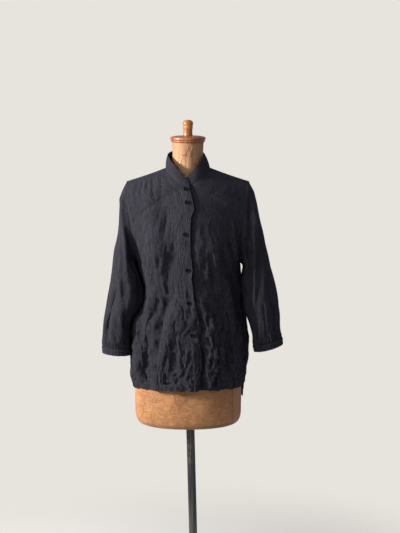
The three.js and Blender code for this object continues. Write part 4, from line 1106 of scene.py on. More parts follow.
@dataclass
class ShirtPieces:
    """Makes the shirt's objects from its sheets."""

    shirt: Shirt
    side_stitches: float = 4.0
    edge_stitches: float = 2.5

    def both_edges(self, first: np.ndarray, second: np.ndarray) -> np.ndarray:
        """Distance from the nearer of two rows of stitches, one along each edge."""
        return np.minimum(np.abs(first - self.edge_stitches), np.abs(second - self.edge_stitches))

    def stitched(self, piece: bpy.types.Object, *skins: np.ndarray) -> bpy.types.Object:
        """Gives a piece the distance of each point from its row of stitches.

        Args:
            piece: The piece.
            *skins: The distances of each of its skins, in millimetres.

        Returns:
            The piece, with the distances in an attribute.
        """
        values = np.concatenate([skin.ravel() for skin in skins]).astype(np.float32)
        layer = piece.data.attributes.new("stitch", "FLOAT", "POINT")
        layer.data.foreach_set("value", values)
        return piece

    def edge_distances(self, sheet: Sheet) -> tuple[np.ndarray, np.ndarray, np.ndarray, np.ndarray]:
        """Distances over the cloth from the first and last column and the first and last row.

        Args:
            sheet: The sheet.

        Returns:
            The four distances, in that order.
        """
        u, v = sheet.runs()
        return u, u[:, -1:] - u, v, v[-1:] - v

    def panel(self, word: str) -> bpy.types.Object:
        """A front panel, with stitches along its hem.

        Args:
            word: right or left.

        Returns:
            The piece.
        """
        sheet = self.shirt.sheets["front_" + word]
        offset = (40.0 if word == "left" else 0.0, 0.0)
        piece = sheet.settled().wall("front_panel_" + word, self.shirt.cloth, offset)
        _, far, low, _ = self.edge_distances(sheet)
        lines = np.minimum(np.abs(low - self.shirt.hem_stitches), np.abs(far - self.side_stitches))
        return self.stitched(piece, lines, lines)

    def back_panel(self) -> bpy.types.Object:
        """The back: both halves in one wall, joined down the middle under the nape.

        Returns:
            The piece.
        """
        fan = self.shirt.shoulder_steps
        open_rows = int(fan * self.shirt.pattern.back_neck_rows / self.shirt.pattern.shoulder_rows)
        left, right = self.shirt.sheets["back_left"], self.shirt.sheets["back_right"]
        joined = len(left.points) - open_rows
        shared = unit(left.directions[:joined, -1] + right.directions[:joined, 0])
        left.directions[:joined, -1] = right.directions[:joined, 0] = shared
        right.points[:joined, 0] = left.points[:joined, -1]
        count = 0
        points, faces, uvs, lines = [], [], [], []
        for sheet, middle, offset in ((left, -1, 90.0), (right, 0, 120.0)):
            inner = settle(sheet.points).reshape(-1, 3)
            outer = inner + sheet.directions.reshape(-1, 3) * self.shirt.cloth
            number = np.arange(len(inner)).reshape(sheet.points.shape[:2])
            seam = np.zeros(len(inner), bool)
            seam[number[:joined, middle]] = True
            rims = sheet.rims()
            rims = rims[~(seam[rims[:, 0]] & seam[rims[:, 1]])]
            quads, skin = sheet.cells(), len(inner)
            sides = np.concatenate([rims[:, ::-1], rims + skin], axis=1)
            faces.append(np.concatenate([quads + skin, quads[:, ::-1], sides]) + count)
            points += [inner, outer]
            u, v = sheet.lengths()
            uvs += [np.stack([u, v], axis=-1).reshape(-1, 2) / 10.0 + offset] * 2
            near, far, low, _ = self.edge_distances(sheet)
            aside = np.abs((near if middle else far) - self.side_stitches)
            lines += [np.minimum(np.abs(low - self.shirt.hem_stitches), aside)] * 2
            count += 2 * skin
        piece = make_mesh("back_panel", np.concatenate(points), np.concatenate(faces), np.concatenate(uvs))
        self.stitched(piece, *lines)
        weld(piece)
        return piece

    def tube(self, name: str, word: str, thickness: float, offset: float) -> bpy.types.Object:
        """A sleeve or a cuff.

        Args:
            name: The piece's name.
            word: Its sheet.
            thickness: The cloth's thickness.
            offset: Where it lies on the cloth.

        Returns:
            The piece.
        """
        sheet = self.shirt.sheets[word]
        piece = sheet.settled().wall(name, thickness, (offset, offset))
        _, _, low, high = self.edge_distances(sheet)
        cuff = word.startswith("cuff")
        lines = self.both_edges(low, high) if cuff else np.abs(low - self.side_stitches)
        return self.stitched(piece, lines, lines)

    def band(self, name: str, word: str, thickness: float, offset: float) -> bpy.types.Object:
        """The placket or the collar, stitched near each of its long edges.

        Args:
            name: The piece's name.
            word: Its sheet.
            thickness: The cloth's thickness.
            offset: Where it lies on the cloth.

        Returns:
            The piece.
        """
        sheet = self.shirt.sheets[word]
        piece = sheet.settled().wall(name, thickness, (offset, offset))
        near, far, low, high = self.edge_distances(sheet)
        lines = self.both_edges(near, far) if word == "placket" else self.both_edges(low, high)
        return self.stitched(piece, lines, lines)

    def button(self, number: int, height: float, from_edge: float) -> bpy.types.Object:
        """A button: a rimmed disc with a dished face and four thread holes.

        Its top is h(r) = thick * (0.7 + 0.3 * bell(r - 0.86 R)) less a pit at each hole.

        Args:
            number: Its number, counted down from the collar.
            height: Its height.
            from_edge: How far in from the placket's edge.

        Returns:
            The piece.
        """
        shirt = self.shirt
        place, direction = shirt.button_seat(height, from_edge)
        radius, thick = shirt.button_radius, shirt.button_thick
        ring = np.concatenate([np.linspace(0, 0.9, 15), [0.95, 0.99, 1.0, 1.0, 0.97, 0.86, 0.0]]) * radius
        top = thick * (0.66 + 0.34 * bell(ring[:15] / radius - 0.84, 0.12))
        level = np.concatenate([top, np.array([0.93, 0.8, 0.66, 0.28, 0.08, 0.0, 0.0]) * thick])
        turn = np.linspace(0, 2 * math.pi, 40, endpoint=False)
        x, y = ring[:, None] * np.cos(turn), ring[:, None] * np.sin(turn)
        z = np.broadcast_to(level[:, None], x.shape).copy()
        for angle in np.radians([45, 135, 225, 315]):
            away = np.hypot(x[:15] - 1.7 * math.cos(angle), y[:15] - 1.7 * math.sin(angle))
            z[:15] -= 1.1 * bell(away, 0.75)
        turned_up = Vector((0, 0, 1)).rotation_difference(Vector(direction)).to_matrix()
        rings = np.stack([x, y, z], axis=-1)[::-1] @ np.array(turned_up).T + place
        return loft(f"shirt_button_{number}", settle(rings), (False, False))


def weld(piece: bpy.types.Object, distance: float = 2e-5) -> None:
    """Joins the points of a piece that lie on each other.

    Args:
        piece: The piece.
        distance: How near they lie, in metres.
    """
    mesh = bmesh.new()
    mesh.from_mesh(piece.data)
    bmesh.ops.remove_doubles(mesh, verts=mesh.verts, dist=distance)
    mesh.to_mesh(piece.data)
    mesh.free()


def loft(name: str, rings: np.ndarray, ends: tuple[bool, bool] = (True, True)) -> bpy.types.Object:
    """A closed skin through rings, each closed by a point in its middle at the ends that need one.

    Args:
        name: The piece's name.
        rings: Rings by points by 3, turning anticlockwise seen from above, from the foot up.
        ends: Whether the first and the last ring are closed.

    Returns:
        The piece.
    """
    count, around_it = rings.shape[:2]
    number = np.arange(count * around_it).reshape(count, around_it)
    beside = np.roll(number, -1, axis=1)
    quads = np.stack([number[:-1], beside[:-1], beside[1:], number[1:]], axis=-1).reshape(-1, 4)
    points, faces = [rings.reshape(-1, 3)], [quads]
    for k, (closed, ring) in enumerate(zip(ends, (0, -1))):
        if closed:
            middle = sum(len(p) for p in points)
            points.append(rings[ring].mean(axis=0, keepdims=True))
            fan = np.stack([number[ring], beside[ring], np.full(around_it, middle)], axis=-1)
            fan = fan if k else fan[:, ::-1]
            faces.append(np.concatenate([fan, fan[:, :1]], axis=1))
    return make_closed(name, np.concatenate(points), np.concatenate(faces))


def make_closed(name: str, points: np.ndarray, faces: np.ndarray) -> bpy.types.Object:
    """A mesh of quads and triangles: rows whose first and last number agree are triangles.

    Args:
        name: The piece's name.
        points: Its points in millimetres. Points that lie on each other are joined.
        faces: Four point numbers a face, facing out.

    Returns:
        The new object, smooth shaded, sharp where faces meet at more than 50 degrees.
    """
    triangle = faces[:, 0] == faces[:, 3]
    mesh = bpy.data.meshes.new(name)
    sides = np.where(triangle, 3, 4)
    mesh.vertices.add(len(points))
    mesh.vertices.foreach_set("co", (points * MILLIMETRE).astype(np.float32).ravel())
    keep = np.ones(faces.shape, bool)
    keep[triangle, 3] = False
    loops = faces[keep].astype(np.int32)
    mesh.loops.add(len(loops))
    mesh.loops.foreach_set("vertex_index", loops)
    mesh.polygons.add(len(faces))
    mesh.polygons.foreach_set("loop_start", np.concatenate([[0], np.cumsum(sides)[:-1]]).astype(np.int32))
    mesh.update(calc_edges=True)
    mesh.shade_smooth()
    mesh.set_sharp_from_angle(angle=SMOOTH_UNDER)
    piece = bpy.data.objects.new(name, mesh)
    bpy.context.scene.collection.objects.link(piece)
    weld(piece)
    return piece


def turned_rings(profile: Sequence[tuple[float, float]], segments: int, rounding: int = 3) -> np.ndarray:
    """Rings of a turned piece, from a profile of radius and height whose corners are rounded.

    Each pass of rounding replaces a corner by two points, a quarter and three quarters of the way along
    the sides that meet there, as Chaikin's curve does.

    Args:
        profile: Radius and height, from the axis at the foot to the axis at the top.
        segments: Points round a ring.
        rounding: How many passes.

    Returns:
        Rings by points by 3, upright on the origin.
    """
    line = np.array(profile, float)
    for _ in range(rounding):
        low = line[:-1] * 0.75 + line[1:] * 0.25
        high = line[:-1] * 0.25 + line[1:] * 0.75
        line = np.concatenate([line[:1], np.stack([low, high], axis=1).reshape(-1, 2), line[-1:]])
    turn = np.linspace(0, 2 * math.pi, segments, endpoint=False)
    radius, height = line[:, 0, None], line[:, 1, None]
    return np.stack(
        np.broadcast_arrays(radius * np.cos(turn), radius * np.sin(turn), height), axis=-1
    )


@dataclass
class DressForm:
    """The limbless form: hips, waist, bust and neck, with its wooden cap and knob."""

    segments: int = 168
    neck_top: float = 1521.0
    socket_radius: float = 13.6
    socket_top: float = 705.0
    foot: float = 645.0
    lean: float = POLE_LEAN
    crumple: Crumple = field(default_factory=lambda: Crumple(23))
    cap: tuple = (
        (0, 0), (49.2, 0), (49.6, 0.2), (50.6, 0.9), (51.5, 2.4), (51.5, 5.4), (51.9, 6.6), (53.2, 8.2),
        (53.6, 9.6), (53.6, 12.4), (53, 14.4), (51, 16), (46, 17.4), (40, 18.6), (28, 19.5), (16, 20),
        (0, 20),
    )
    knob: tuple = (
        (0, 0), (14.2, 0), (14.4, 0.5), (13.9, 3.4), (13.6, 8), (13.7, 15), (14.2, 21), (14.9, 25.4),
        (14.8, 27.2), (14.2, 28.4), (14.8, 29.8), (15.9, 33), (16.1, 36), (15.6, 39), (13.2, 43.4),
        (8.5, 46), (4, 46.7), (0, 46.8),
    )

    def sections(self) -> Table:
        """The form's sections: half width, front and back depth, squareness and middle, by height.

        Returns:
            The sections.
        """
        slope = (1437.0 - 1402.0) / (184.0 - 66.0)
        shoulder = [
            (z, 66 + (1437 - z) / slope - 2.2, front, back, square, 4)
            for z, front, back, square in ((1404, 56, 50, 1.5), (1414, 54, 49, 1.3), (1424, 52, 48, 1.25))
        ]
        return Table(
            "z half front back square y",
            [
                (645, 126, 74, 78, 2.1, 0), (648, 145, 90, 94, 2.1, 0), (656, 157, 100, 105, 2.1, 0),
                (671, 163, 106, 111, 2.1, 0), (695, 165, 108, 113, 2.1, 0), (780, 164.5, 109, 114, 2.1, 0),
                (870, 159, 105, 108, 2.1, 0), (950, 138, 94, 88, 2.1, 0), (1030, 116, 86, 72, 2.1, 0),
                (1100, 121, 92, 73, 2.1, 0), (1170, 133, 104, 79, 2.1, 0), (1245, 142, 111, 84, 2.1, 1),
                (1310, 154, 98, 84, 2.1, 2), (1355, 166, 82, 74, 2, 3), (1385, 174, 64, 58, 1.75, 4),
                *shoulder,
                (1436.5, 61.5, 50, 49, 1.7, 2), (1454, 51, 47, 48, 2, 1), (1482, 46.8, 45.5, 47, 2, 0),
                (1521, 47.8, 46.5, 47, 2, 0),
            ],
        )

    def skin(self) -> bpy.types.Object:
        """The paper skin: super-ellipses lofted up from the socket round the pole to the neck.

        A ring's x is half * sign(sin) |sin|^(2/square), and y is the depth times the same of cos.

        Returns:
            The piece.
        """
        table = self.sections()
        z = np.unique(
            np.concatenate(
                [np.linspace(645, 660, 12), np.linspace(660, 860, 60), np.linspace(860, 1385, 60),
                 np.linspace(1385, 1440, 34), np.linspace(1440, self.neck_top, 30)]
            )
        )[:, None]
        turn = np.linspace(0, 2 * math.pi, self.segments, endpoint=False)[None]
        power = 2.0 / table.read("square", z)
        side = np.sign(np.sin(turn)) * np.abs(np.sin(turn)) ** power
        along = np.sign(np.cos(turn)) * np.abs(np.cos(turn)) ** power
        depth = np.where(along > 0, table.read("front", z), table.read("back", z))
        covered = ease(z, 860, 900) * (1 - ease(z, 1440, 1446))
        inset = 1.0 - 0.012 * covered
        x, y = table.read("half", z) * side * inset, table.read("y", z) - along * depth * inset
        rings = np.stack(np.broadcast_arrays(x, y, z), axis=-1)
        out = np.stack(np.broadcast_arrays(side, -along, 0 * z), axis=-1)
        dents = 0.7 * self.crumple.value(turn * 9 / math.pi * 2, z / 38)
        dents = dents + 0.35 * self.crumple.value(turn * 12, z / 12)
        dents = dents * ease(z, 652, 670) * (1 - ease(z, 1508, 1519)) * (1 - covered)
        seam = bell((np.abs(around(np.degrees(turn))) - 90) * 2.6, 1.6)
        dents = dents - 0.9 * seam * (1 - covered) * ease(z, 650, 672)
        rings = rings + unit(out) * dents[..., None]
        socket_turn = np.arctan2(rings[0, :, 1], rings[0, :, 0])
        hole_x, hole_y = self.socket_radius * np.cos(socket_turn), self.socket_radius * np.sin(socket_turn)
        rim = []
        for height in (self.socket_top, self.foot + 1.5):
            axis = -self.lean * height - FORM_STANDS_AT
            rim.append(np.stack([axis + hole_x, hole_y, np.full(self.segments, height)], axis=-1))
        mouth = lerp(rim[1], rings[0], 0.02)
        mouth[:, 2] = self.foot
        return loft("form_skin", settle(np.concatenate([np.stack([rim[0], rim[1], mouth]), rings])))

    def turned_piece(self, name: str, profile: tuple, foot: float) -> bpy.types.Object:
        """A turned wooden piece standing on the form's middle at a height."""
        rings = turned_rings(profile, 96, 2) + np.array([0.0, 0.0, foot])
        return loft(name, settle(rings), (False, False))


@dataclass
class Stand:
    """The pole and its round base."""

    pole_radius: float = 13.0
    pole_foot: float = 10.7
    pole_top: float = 704.4
    lean: float = POLE_LEAN
    base: tuple = (
        (0, 0), (160, 0), (163.6, 1), (165, 3.4), (165, 6.4), (163.4, 8.8), (158, 10.4), (110, 13),
        (54, 15.6), (46, 17), (36, 20.6), (33.4, 24), (31.2, 29), (30.2, 33.4), (29.2, 35.6), (27, 37),
        (15.6, 37), (14.3, 36), (14.3, 34), (14.3, 12), (14.3, 10.2), (0, 10),
    )

    def pole(self) -> bpy.types.Object:
        """The pole: a bar with eased ends, which leans over as it rises.

        Returns:
            The piece.
        """
        length = (self.pole_top - self.pole_foot) / math.cos(self.lean)
        eased, full = 1.2, np.full(42, self.pole_radius)
        height = np.concatenate(
            [[0, 0, eased], np.linspace(6, length - 6, 40), [length - eased, length, length]]
        )
        radius = np.concatenate([[0, self.pole_radius - eased], full, [self.pole_radius - eased, 0]])
        turn = np.linspace(0, 2 * math.pi, 72, endpoint=False)
        along = height[:, None] * math.cos(self.lean)
        x = radius[:, None] * np.cos(turn) - self.lean * (self.pole_foot + along)
        y = radius[:, None] * np.sin(turn)
        z = self.pole_foot + along + radius[:, None] * np.cos(turn) * math.sin(self.lean)
        return loft("pole", np.stack(np.broadcast_arrays(x, y, z), axis=-1), (False, False))

    def foot(self) -> bpy.types.Object:
        """The cast base, with a collar round the pole."""
        return loft("base", turned_rings(self.base, 120, 1), (False, False))


class Wire:
    """A shader value that takes part in Python sums: each operator adds a Math node."""

    def __init__(self, tree: bpy.types.NodeTree, socket: bpy.types.NodeSocket) -> None:
        """Keeps the tree and the socket that gives the value."""
        self.tree = tree
        self.socket = socket

    @classmethod
    def of_node(
        cls,
        tree: bpy.types.NodeTree,
        kind: str,
        settings: dict | None = None,
        output: int | str = 0,
        **values: object,
    ) -> "Wire":
        """Adds a node to a tree.

        Args:
            tree: The tree.
            kind: The node's type without its ShaderNode prefix.
            settings: Attributes set first, such as an operation.
            output: Which output is wanted.
            **values: Values or wires of its sockets, with _ for a space in the name, or i and a number.

        Returns:
            The output as a wire.
        """
        node = tree.nodes.new("ShaderNode" + kind)
        for word, value in (settings or {}).items():
            setattr(node, word, value)
        for word, value in values.items():
            numbered = word[0] == "i" and word[1:].isdigit()
            slot = node.inputs[int(word[1:]) if numbered else word.replace("_", " ")]
            if isinstance(value, Wire):
                tree.links.new(value.socket, slot)
            else:
                slot.default_value = value
        return cls(tree, node.outputs[output])

    def _math(self, operation: str, *terms: "Wire | float") -> "Wire":
        """Adds a Math node with these terms."""
        slots = {f"i{k}": term for k, term in enumerate(terms)}
        return Wire.of_node(self.tree, "Math", {"operation": operation}, **slots)

    def __add__(self, other: "Wire | float") -> "Wire":
        """Sum."""
        return self._math("ADD", self, other)

    def __radd__(self, other: float) -> "Wire":
        """Sum with a number first."""
        return self._math("ADD", other, self)

    def __sub__(self, other: "Wire | float") -> "Wire":
        """Difference."""
        return self._math("SUBTRACT", self, other)

    def __rsub__(self, other: float) -> "Wire":
        """Difference from a number."""
        return self._math("SUBTRACT", other, self)

    def __mul__(self, other: "Wire | float") -> "Wire":
        """Product."""
        return self._math("MULTIPLY", self, other)

    def __rmul__(self, other: float) -> "Wire":
        """Product with a number first."""
        return self._math("MULTIPLY", other, self)

    def __pow__(self, power: float) -> "Wire":
        """Power."""
        return self._math("POWER", self, power)

    def __abs__(self) -> "Wire":
        """The value without its sign."""
        return self._math("ABSOLUTE", self)

    def sine(self) -> "Wire":
        """Its sine."""
        return self._math("SINE", self)

    def between(self, low: float, high: float) -> "Wire":
        """Eases the value from 0 at low to 1 at high.

        Args:
            low: Where it is 0. It may be the larger of the two.
            high: Where it is 1.

        Returns:
            The eased value, from 0 to 1.
        """
        swapped = low > high
        ends = {"From_Min": min(low, high), "From_Max": max(low, high)}
        ends |= {"To_Min": 1.0 if swapped else 0.0, "To_Max": 0.0 if swapped else 1.0}
        eased = {"interpolation_type": "SMOOTHSTEP"}
        return Wire.of_node(self.tree, "MapRange", eased, "Result", Value=self, **ends)


class Paint:
    """A material under construction: its tree and its main shader."""

    def __init__(self, name: str, colour: Colour, roughness: float, **uniform: float) -> None:
        """Starts a material.

        Args:
            name: The material's name.
            colour: Its base colour, linear.
            roughness: Its roughness.
            **uniform: Numbers set on the shader's own sockets, with _ for a space in the name.
        """
        self.material = bpy.data.materials.new(name)
        self.material.use_nodes = True
        self.tree = self.material.node_tree
        self.shader = self.tree.nodes["Principled BSDF"]
        self.shader.inputs["Base Color"].default_value = (*colour, 1.0)
        self.shader.inputs["Roughness"].default_value = roughness
        for word, value in uniform.items():
            self.shader.inputs[word.replace("_", " ")].default_value = value
        self.material.diffuse_color = (*colour, 1.0)

    def node(
        self, kind: str, settings: dict | None = None, output: int | str = 0, **values: object
    ) -> Wire:
        """Adds a node to the material, as Wire.of_node does."""
        return Wire.of_node(self.tree, kind, settings, output, **values)

    def place(self) -> Wire:
        """Object coordinates, in metres."""
        return self.node("TexCoord", output="Object")

    def stretched(self, place: Wire, x: float, y: float, z: float) -> Wire:
        """Coordinates scaled along each axis."""
        return self.node("Mapping", i0=place, Scale=(x, y, z))

    def noise(self, place: Wire, scale: float, detail: float = 4.0, roughness: float = 0.55) -> Wire:
        """Cloudy noise, from 0 to 1."""
        return self.node("TexNoise", i0=place, Scale=scale, Detail=detail, Roughness=roughness)

    def cracks(self, place: Wire, scale: float) -> Wire:
        """Distance to the edges of irregular cells."""
        return self.node("TexVoronoi", {"feature": "DISTANCE_TO_EDGE"}, i0=place, Scale=scale)

    def parts(self, place: Wire) -> tuple[Wire, Wire, Wire]:
        """The x, y and z of coordinates."""
        return tuple(self.node("SeparateXYZ", output=axis, i0=place) for axis in "XYZ")

    def mix(self, share: Wire | float, low: Wire | Colour, high: Wire | Colour) -> Wire:
        """Blends two colours.

        Args:
            share: 0 for the first colour and 1 for the second.
            low: The first colour.
            high: The second colour.

        Returns:
            The blended colour.
        """
        first, second = ((*end, 1.0) if isinstance(end, tuple) else end for end in (low, high))
        return self.node("Mix", {"data_type": "RGBA"}, output=2, i0=share, i6=first, i7=second)

    def feed(self, word: str, wire: Wire) -> None:
        """Links a wire to one of the shader's sockets."""
        self.tree.links.new(wire.socket, self.shader.inputs[word])

    def bump(self, height: Wire, distance: float, strength: float = 1.0) -> None:
        """Bumps the surface by a height, in metres at 1."""
        self.feed("Normal", self.node("Bump", Height=height, Distance=distance, Strength=strength))


@dataclass(frozen=True)
class WashedCloth:
    """Washed charcoal plain weave: a faint violet cast, crinkled along the warp, stitched in black.

    The lighter colour lies on slubs as wear, on the crinkle's ridges as a painted highlight of the bump's
    relief, and beside the stitches as wear and painted highlight; the deep colour is painted shade in the
    relief's low places, mixed with random tone.
    """

    colour: Colour = (0.028, 0.027, 0.035)
    worn_and_highlit: Colour = (0.095, 0.092, 0.108)
    deep: Colour = (0.011, 0.0105, 0.017)
    thread: Colour = (0.016, 0.015, 0.02)
    sheen: Colour = (0.7, 0.7, 0.85)
    roughness: float = 0.86
    weave_pitch: float = 88.0

    def paint(self) -> bpy.types.Material:
        """Makes the material: cloth coordinates are in centimetres.

        The weave is sin(warp) * sin(weft), slubs are long noise along each thread, and the crinkle is
        noise stretched three and a half times along the warp, whose ridges are 1 - 6 |crinkle - 0.5|.
        Stitches are dashes, a sine of the way along, where the stitch attribute is under 1 mm. The
        crumple in the bump is deeper under the waist, at half its full depth above the chest.

        Returns:
            The material.
        """
        p = Paint(
            "washed_cloth", self.colour, self.roughness,
            Sheen_Weight=0.03, Sheen_Roughness=0.5, Specular_IOR_Level=0.14,
        )
        p.shader.inputs["Sheen Tint"].default_value = (*self.sheen, 1.0)
        cloth = p.node("UVMap", {"uv_map": "cloth"})
        u, v, _ = p.parts(cloth)
        weave = (u * self.weave_pitch).sine() * (v * self.weave_pitch).sine()
        warp_slub = p.noise(p.stretched(cloth, 9.0, 0.7, 1.0), 1.0, 2.0)
        slub = warp_slub + p.noise(p.stretched(cloth, 0.6, 9.0, 1.0), 1.0, 2.0)
        crinkle = p.noise(p.stretched(cloth, 1.9, 0.55, 1.0), 1.0, 4.0, 0.62)
        ridges = (1.0 - abs(crinkle - 0.5) * 6.0).between(0.0, 1.0)
        dents = p.noise(p.stretched(cloth, 0.5, 0.3, 1.0), 1.0, 3.0)
        streak = p.noise(p.stretched(cloth, 3.4, 0.42, 1.0), 1.0, 3.0, 0.6)
        # painted shade: the deep colour where the streak relief of the bump is low, mixed with random dents
        # of tone
        wear = (streak * 0.6 + dents * 0.4).between(0.36, 0.66)
        tone = p.mix(wear * 0.45 + 0.3, self.deep, self.colour)
        # painted highlight: the lighter colour on the crinkle's ridges, which the bump raises
        tone = p.mix(ridges * 0.2, tone, self.worn_and_highlit)
        tone = p.mix((slub - 1.0).between(0.02, 0.3) * 0.3, tone, self.worn_and_highlit)
        stitch = p.node("Attribute", {"attribute_name": "stitch"}, output="Fac")
        line = stitch.between(1.7, 0.5)
        dash = abs((u + v) * 11.0).sine().between(-0.3, 0.3)
        tone = p.mix(line * dash, tone, self.thread)
        # wear and painted highlight: a lighter band beside the stitches, where a seam's ridge catches the
        # light
        beside = stitch.between(4.0, 1.0)
        tone = p.mix(beside * 0.22, tone, self.worn_and_highlit)
        p.feed("Base Color", tone)
        p.feed("Roughness", 0.8 + ridges * 0.1)
        _, _, level = p.parts(p.place())
        crumpled = 0.55 + level.between(1.32, 1.02) * 0.6
        height = (ridges * 0.6 + crinkle * 1.6 + streak * 0.7) * crumpled
        height = height + slub * 0.08 + weave * 0.05 + line * (dash * 0.5 - 0.75)
        p.bump(height, 0.0045, 1.0)
        return p.material


@dataclass(frozen=True)
class BlackButton:
    """Black polished plastic, a little scuffed."""

    colour: Colour = (0.004, 0.004, 0.005)
    scuffed: Colour = (0.009, 0.009, 0.010)

    def paint(self) -> bpy.types.Material:
        """Makes the material: noise roughens the polish in fine scuffs.

        Returns:
            The material.
        """
        p = Paint("black_button", self.colour, 0.4, Specular_IOR_Level=0.05)
        scuff = p.noise(p.stretched(p.place(), 400.0, 400.0, 1200.0), 1.0, 4.0)
        p.feed("Roughness", 0.34 + scuff * 0.22)
        p.feed("Base Color", p.mix(scuff.between(0.5, 0.75), self.colour, self.scuffed))
        p.bump(scuff, 0.00004)
        return p.material


@dataclass(frozen=True)
class PastedPaper:
    """Varnished pasted paper: mottled tan, darker in its dents and cracks, with rubbed flecks, and painted
    shade along its lower edge and down the wearer's left side.
    """

    tan: Colour = (0.47, 0.215, 0.082)
    light: Colour = (0.60, 0.33, 0.15)
    brown: Colour = (0.27, 0.11, 0.042)
    crack_and_shade: Colour = (0.12, 0.05, 0.022)
    rubbed: Colour = (0.72, 0.48, 0.30)
    neck: Colour = (0.48, 0.275, 0.15)
    shaded: Colour = (0.27, 0.10, 0.045)

    def paint(self) -> bpy.types.Material:
        """Makes the material from object coordinates.

        Clouds of noise about 45, 10 and 4 mm wide mottle it, and flat noise 2 mm high draws laid lines.
        Cell edges, bent by a finer noise, draw the cracks where a mask lets them. The lower edge is
        darkened with painted shade, most on the wearer's left, a paler strip runs up the wearer's left
        side, painted shade darkens that side, and the neck is paler, rosier and smudged.

        Returns:
            The material.
        """
        p = Paint("pasted_paper", self.tan, 0.5, Coat_Weight=0.06, Specular_IOR_Level=0.3)
        place = p.place()
        x, _, z = p.parts(place)
        wide = p.noise(p.stretched(place, 1.0, 1.0, 0.6), 22.0, 4.0)
        blotch = p.noise(p.stretched(place, 1.0, 1.0, 1.5), 95.0, 6.0, 0.7)
        fleck = p.noise(p.stretched(place, 1.0, 1.0, 0.45), 260.0, 3.0, 0.6)
        tone = p.mix(wide.between(0.35, 0.66), self.brown, self.tan)
        tone = p.mix(0.28, tone, self.tan)
        tone = p.mix(blotch.between(0.45, 0.72) * 0.6, tone, self.light)
        tone = p.mix(fleck.between(0.6, 0.72) * 0.4, tone, self.rubbed)
        tone = p.mix(fleck.between(0.4, 0.3) * 0.45, tone, self.brown)
        neck = z.between(1.40, 1.44)
        tone = p.mix(neck * 0.6, tone, self.neck)
        smudge = p.noise(p.stretched(place, 1.0, 1.0, 0.4), 46.0, 4.0, 0.6)
        tone = p.mix(neck * smudge.between(0.5, 0.66) * 0.55, tone, self.brown)
        laid = p.noise(p.stretched(place, 30.0, 30.0, 420.0), 1.0, 3.0, 0.6)
        tone = p.mix(laid.between(0.52, 0.66) * 0.35 * (1.0 - neck), tone, self.light)
        tone = p.mix(laid.between(0.46, 0.36) * 0.3 * (1.0 - neck), tone, self.brown)
        wander = p.node("TexNoise", output=1, i0=place, Scale=30.0)
        wander = p.node("VectorMath", {"operation": "SCALE"}, i0=wander, Scale=0.02)
        web = p.node("VectorMath", {"operation": "ADD"}, i0=place, i1=wander)
        small = p.cracks(web, 34.0).between(0.022, 0.0) * p.noise(place, 9.0, 2.0).between(0.5, 0.62)
        on_neck = neck * p.noise(place, 26.0, 2.0).between(0.46, 0.6)
        large = p.cracks(web, 15.0).between(0.024, 0.0) * (0.2 + on_neck * 1.1)
        lines = small * 0.55 + large * 0.6
        tone = p.mix(lines.between(0.0, 1.0), tone, self.crack_and_shade)
        # painted shade: a dark band along the lower edge, strongest on the wearer's left, away from the
        # lamp
        edge = z.between(0.667, 0.656) * (0.2 + x.between(-0.03, 0.06) * 0.8)
        tone = p.mix(edge * 0.75, tone, self.crack_and_shade)
        strip = x.between(0.1165, 0.1195) * x.between(0.1375, 0.1345)
        tone = p.mix(strip * 0.45, tone, self.light)
        tone = p.mix(x.between(0.1135, 0.1155) * x.between(0.119, 0.117) * 0.5, tone, self.brown)
        # painted shade: the wearer's left side, away from the lamp, is darkened
        painted_shade_side = (x - FORM_STANDS_AT * MILLIMETRE).between(0.02, 0.19)
        tone = p.mix(painted_shade_side * 0.3, tone, self.shaded)
        p.feed("Base Color", tone)
        p.feed("Roughness", 0.42 + blotch * 0.22)
        p.bump(blotch * 0.5 + fleck * 0.25 - lines * 0.9 + wide * 0.6, 0.0016, 0.8)
        return p.material


@dataclass(frozen=True)
class TurnedWood:
    """Stained, varnished turned wood, with grain that runs up the piece."""

    name: str
    stain: Colour
    dark: Colour
    roughness: float = 0.34

    def paint(self) -> bpy.types.Material:
        """Makes the material: grain is noise stretched upwards, and fine rings are left by the tool.

        Returns:
            The material.
        """
        p = Paint(self.name, self.stain, self.roughness, Coat_Weight=0.16, Coat_Roughness=0.28)
        place = p.place()
        _, _, z = p.parts(place)
        grain = p.noise(p.stretched(place, 150.0, 150.0, 12.0), 1.0, 4.0)
        cloud = p.noise(place, 40.0, 3.0)
        tool = (z * 5200.0).sine()
        tone = p.mix(grain.between(0.3, 0.7), self.dark, self.stain)
        tone = p.mix(cloud.between(0.5, 0.75) * 0.45, tone, tuple(min(1.0, c * 1.5) for c in self.stain))
        p.feed("Base Color", tone)
        p.feed("Roughness", self.roughness - 0.06 + grain * 0.16)
        p.bump(grain * 0.5 + tool * 0.06, 0.0005, 0.6)
        return p.material


@dataclass(frozen=True)
class DrawnSteel:
    """Worn grey steel tube, drawn lengthways, with a faint brown stain near the top."""

    steel: Colour = (0.30, 0.31, 0.29)
    dark: Colour = (0.042, 0.045, 0.041)
    bright: Colour = (0.13, 0.136, 0.127)
    stain: Colour = (0.10, 0.075, 0.055)
    rust: Colour = (0.16, 0.10, 0.07)

    def paint(self) -> bpy.types.Material:
        """Makes the material: long streaks of noise, and rust where a second noise and height let it.

        Returns:
            The material.
        """
        p = Paint("drawn_steel", self.steel, 0.3, Metallic=0.75)
        place = p.place()
        _, _, z = p.parts(place)
        streak = p.noise(p.stretched(place, 260.0, 260.0, 6.0), 1.0, 4.0)
        spot = p.noise(place, 60.0, 4.0, 0.65)
        stain = spot.between(0.42, 0.6) * z.between(0.47, 0.56) * z.between(0.66, 0.58)
        rust = spot.between(0.62, 0.74) * 0.5
        tone = p.mix(streak.between(0.3, 0.7), self.dark, self.bright)
        tone = p.mix(stain * 0.6, tone, self.stain)
        tone = p.mix(rust, tone, self.rust)
        p.feed("Base Color", tone)
        p.feed("Roughness", 0.26 + streak * 0.16 + stain * 0.2)
        p.feed("Metallic", 0.8 - rust * 0.6 - stain * 0.4)
        p.bump(streak * 0.3 + spot * 0.3, 0.0003)
        return p.material


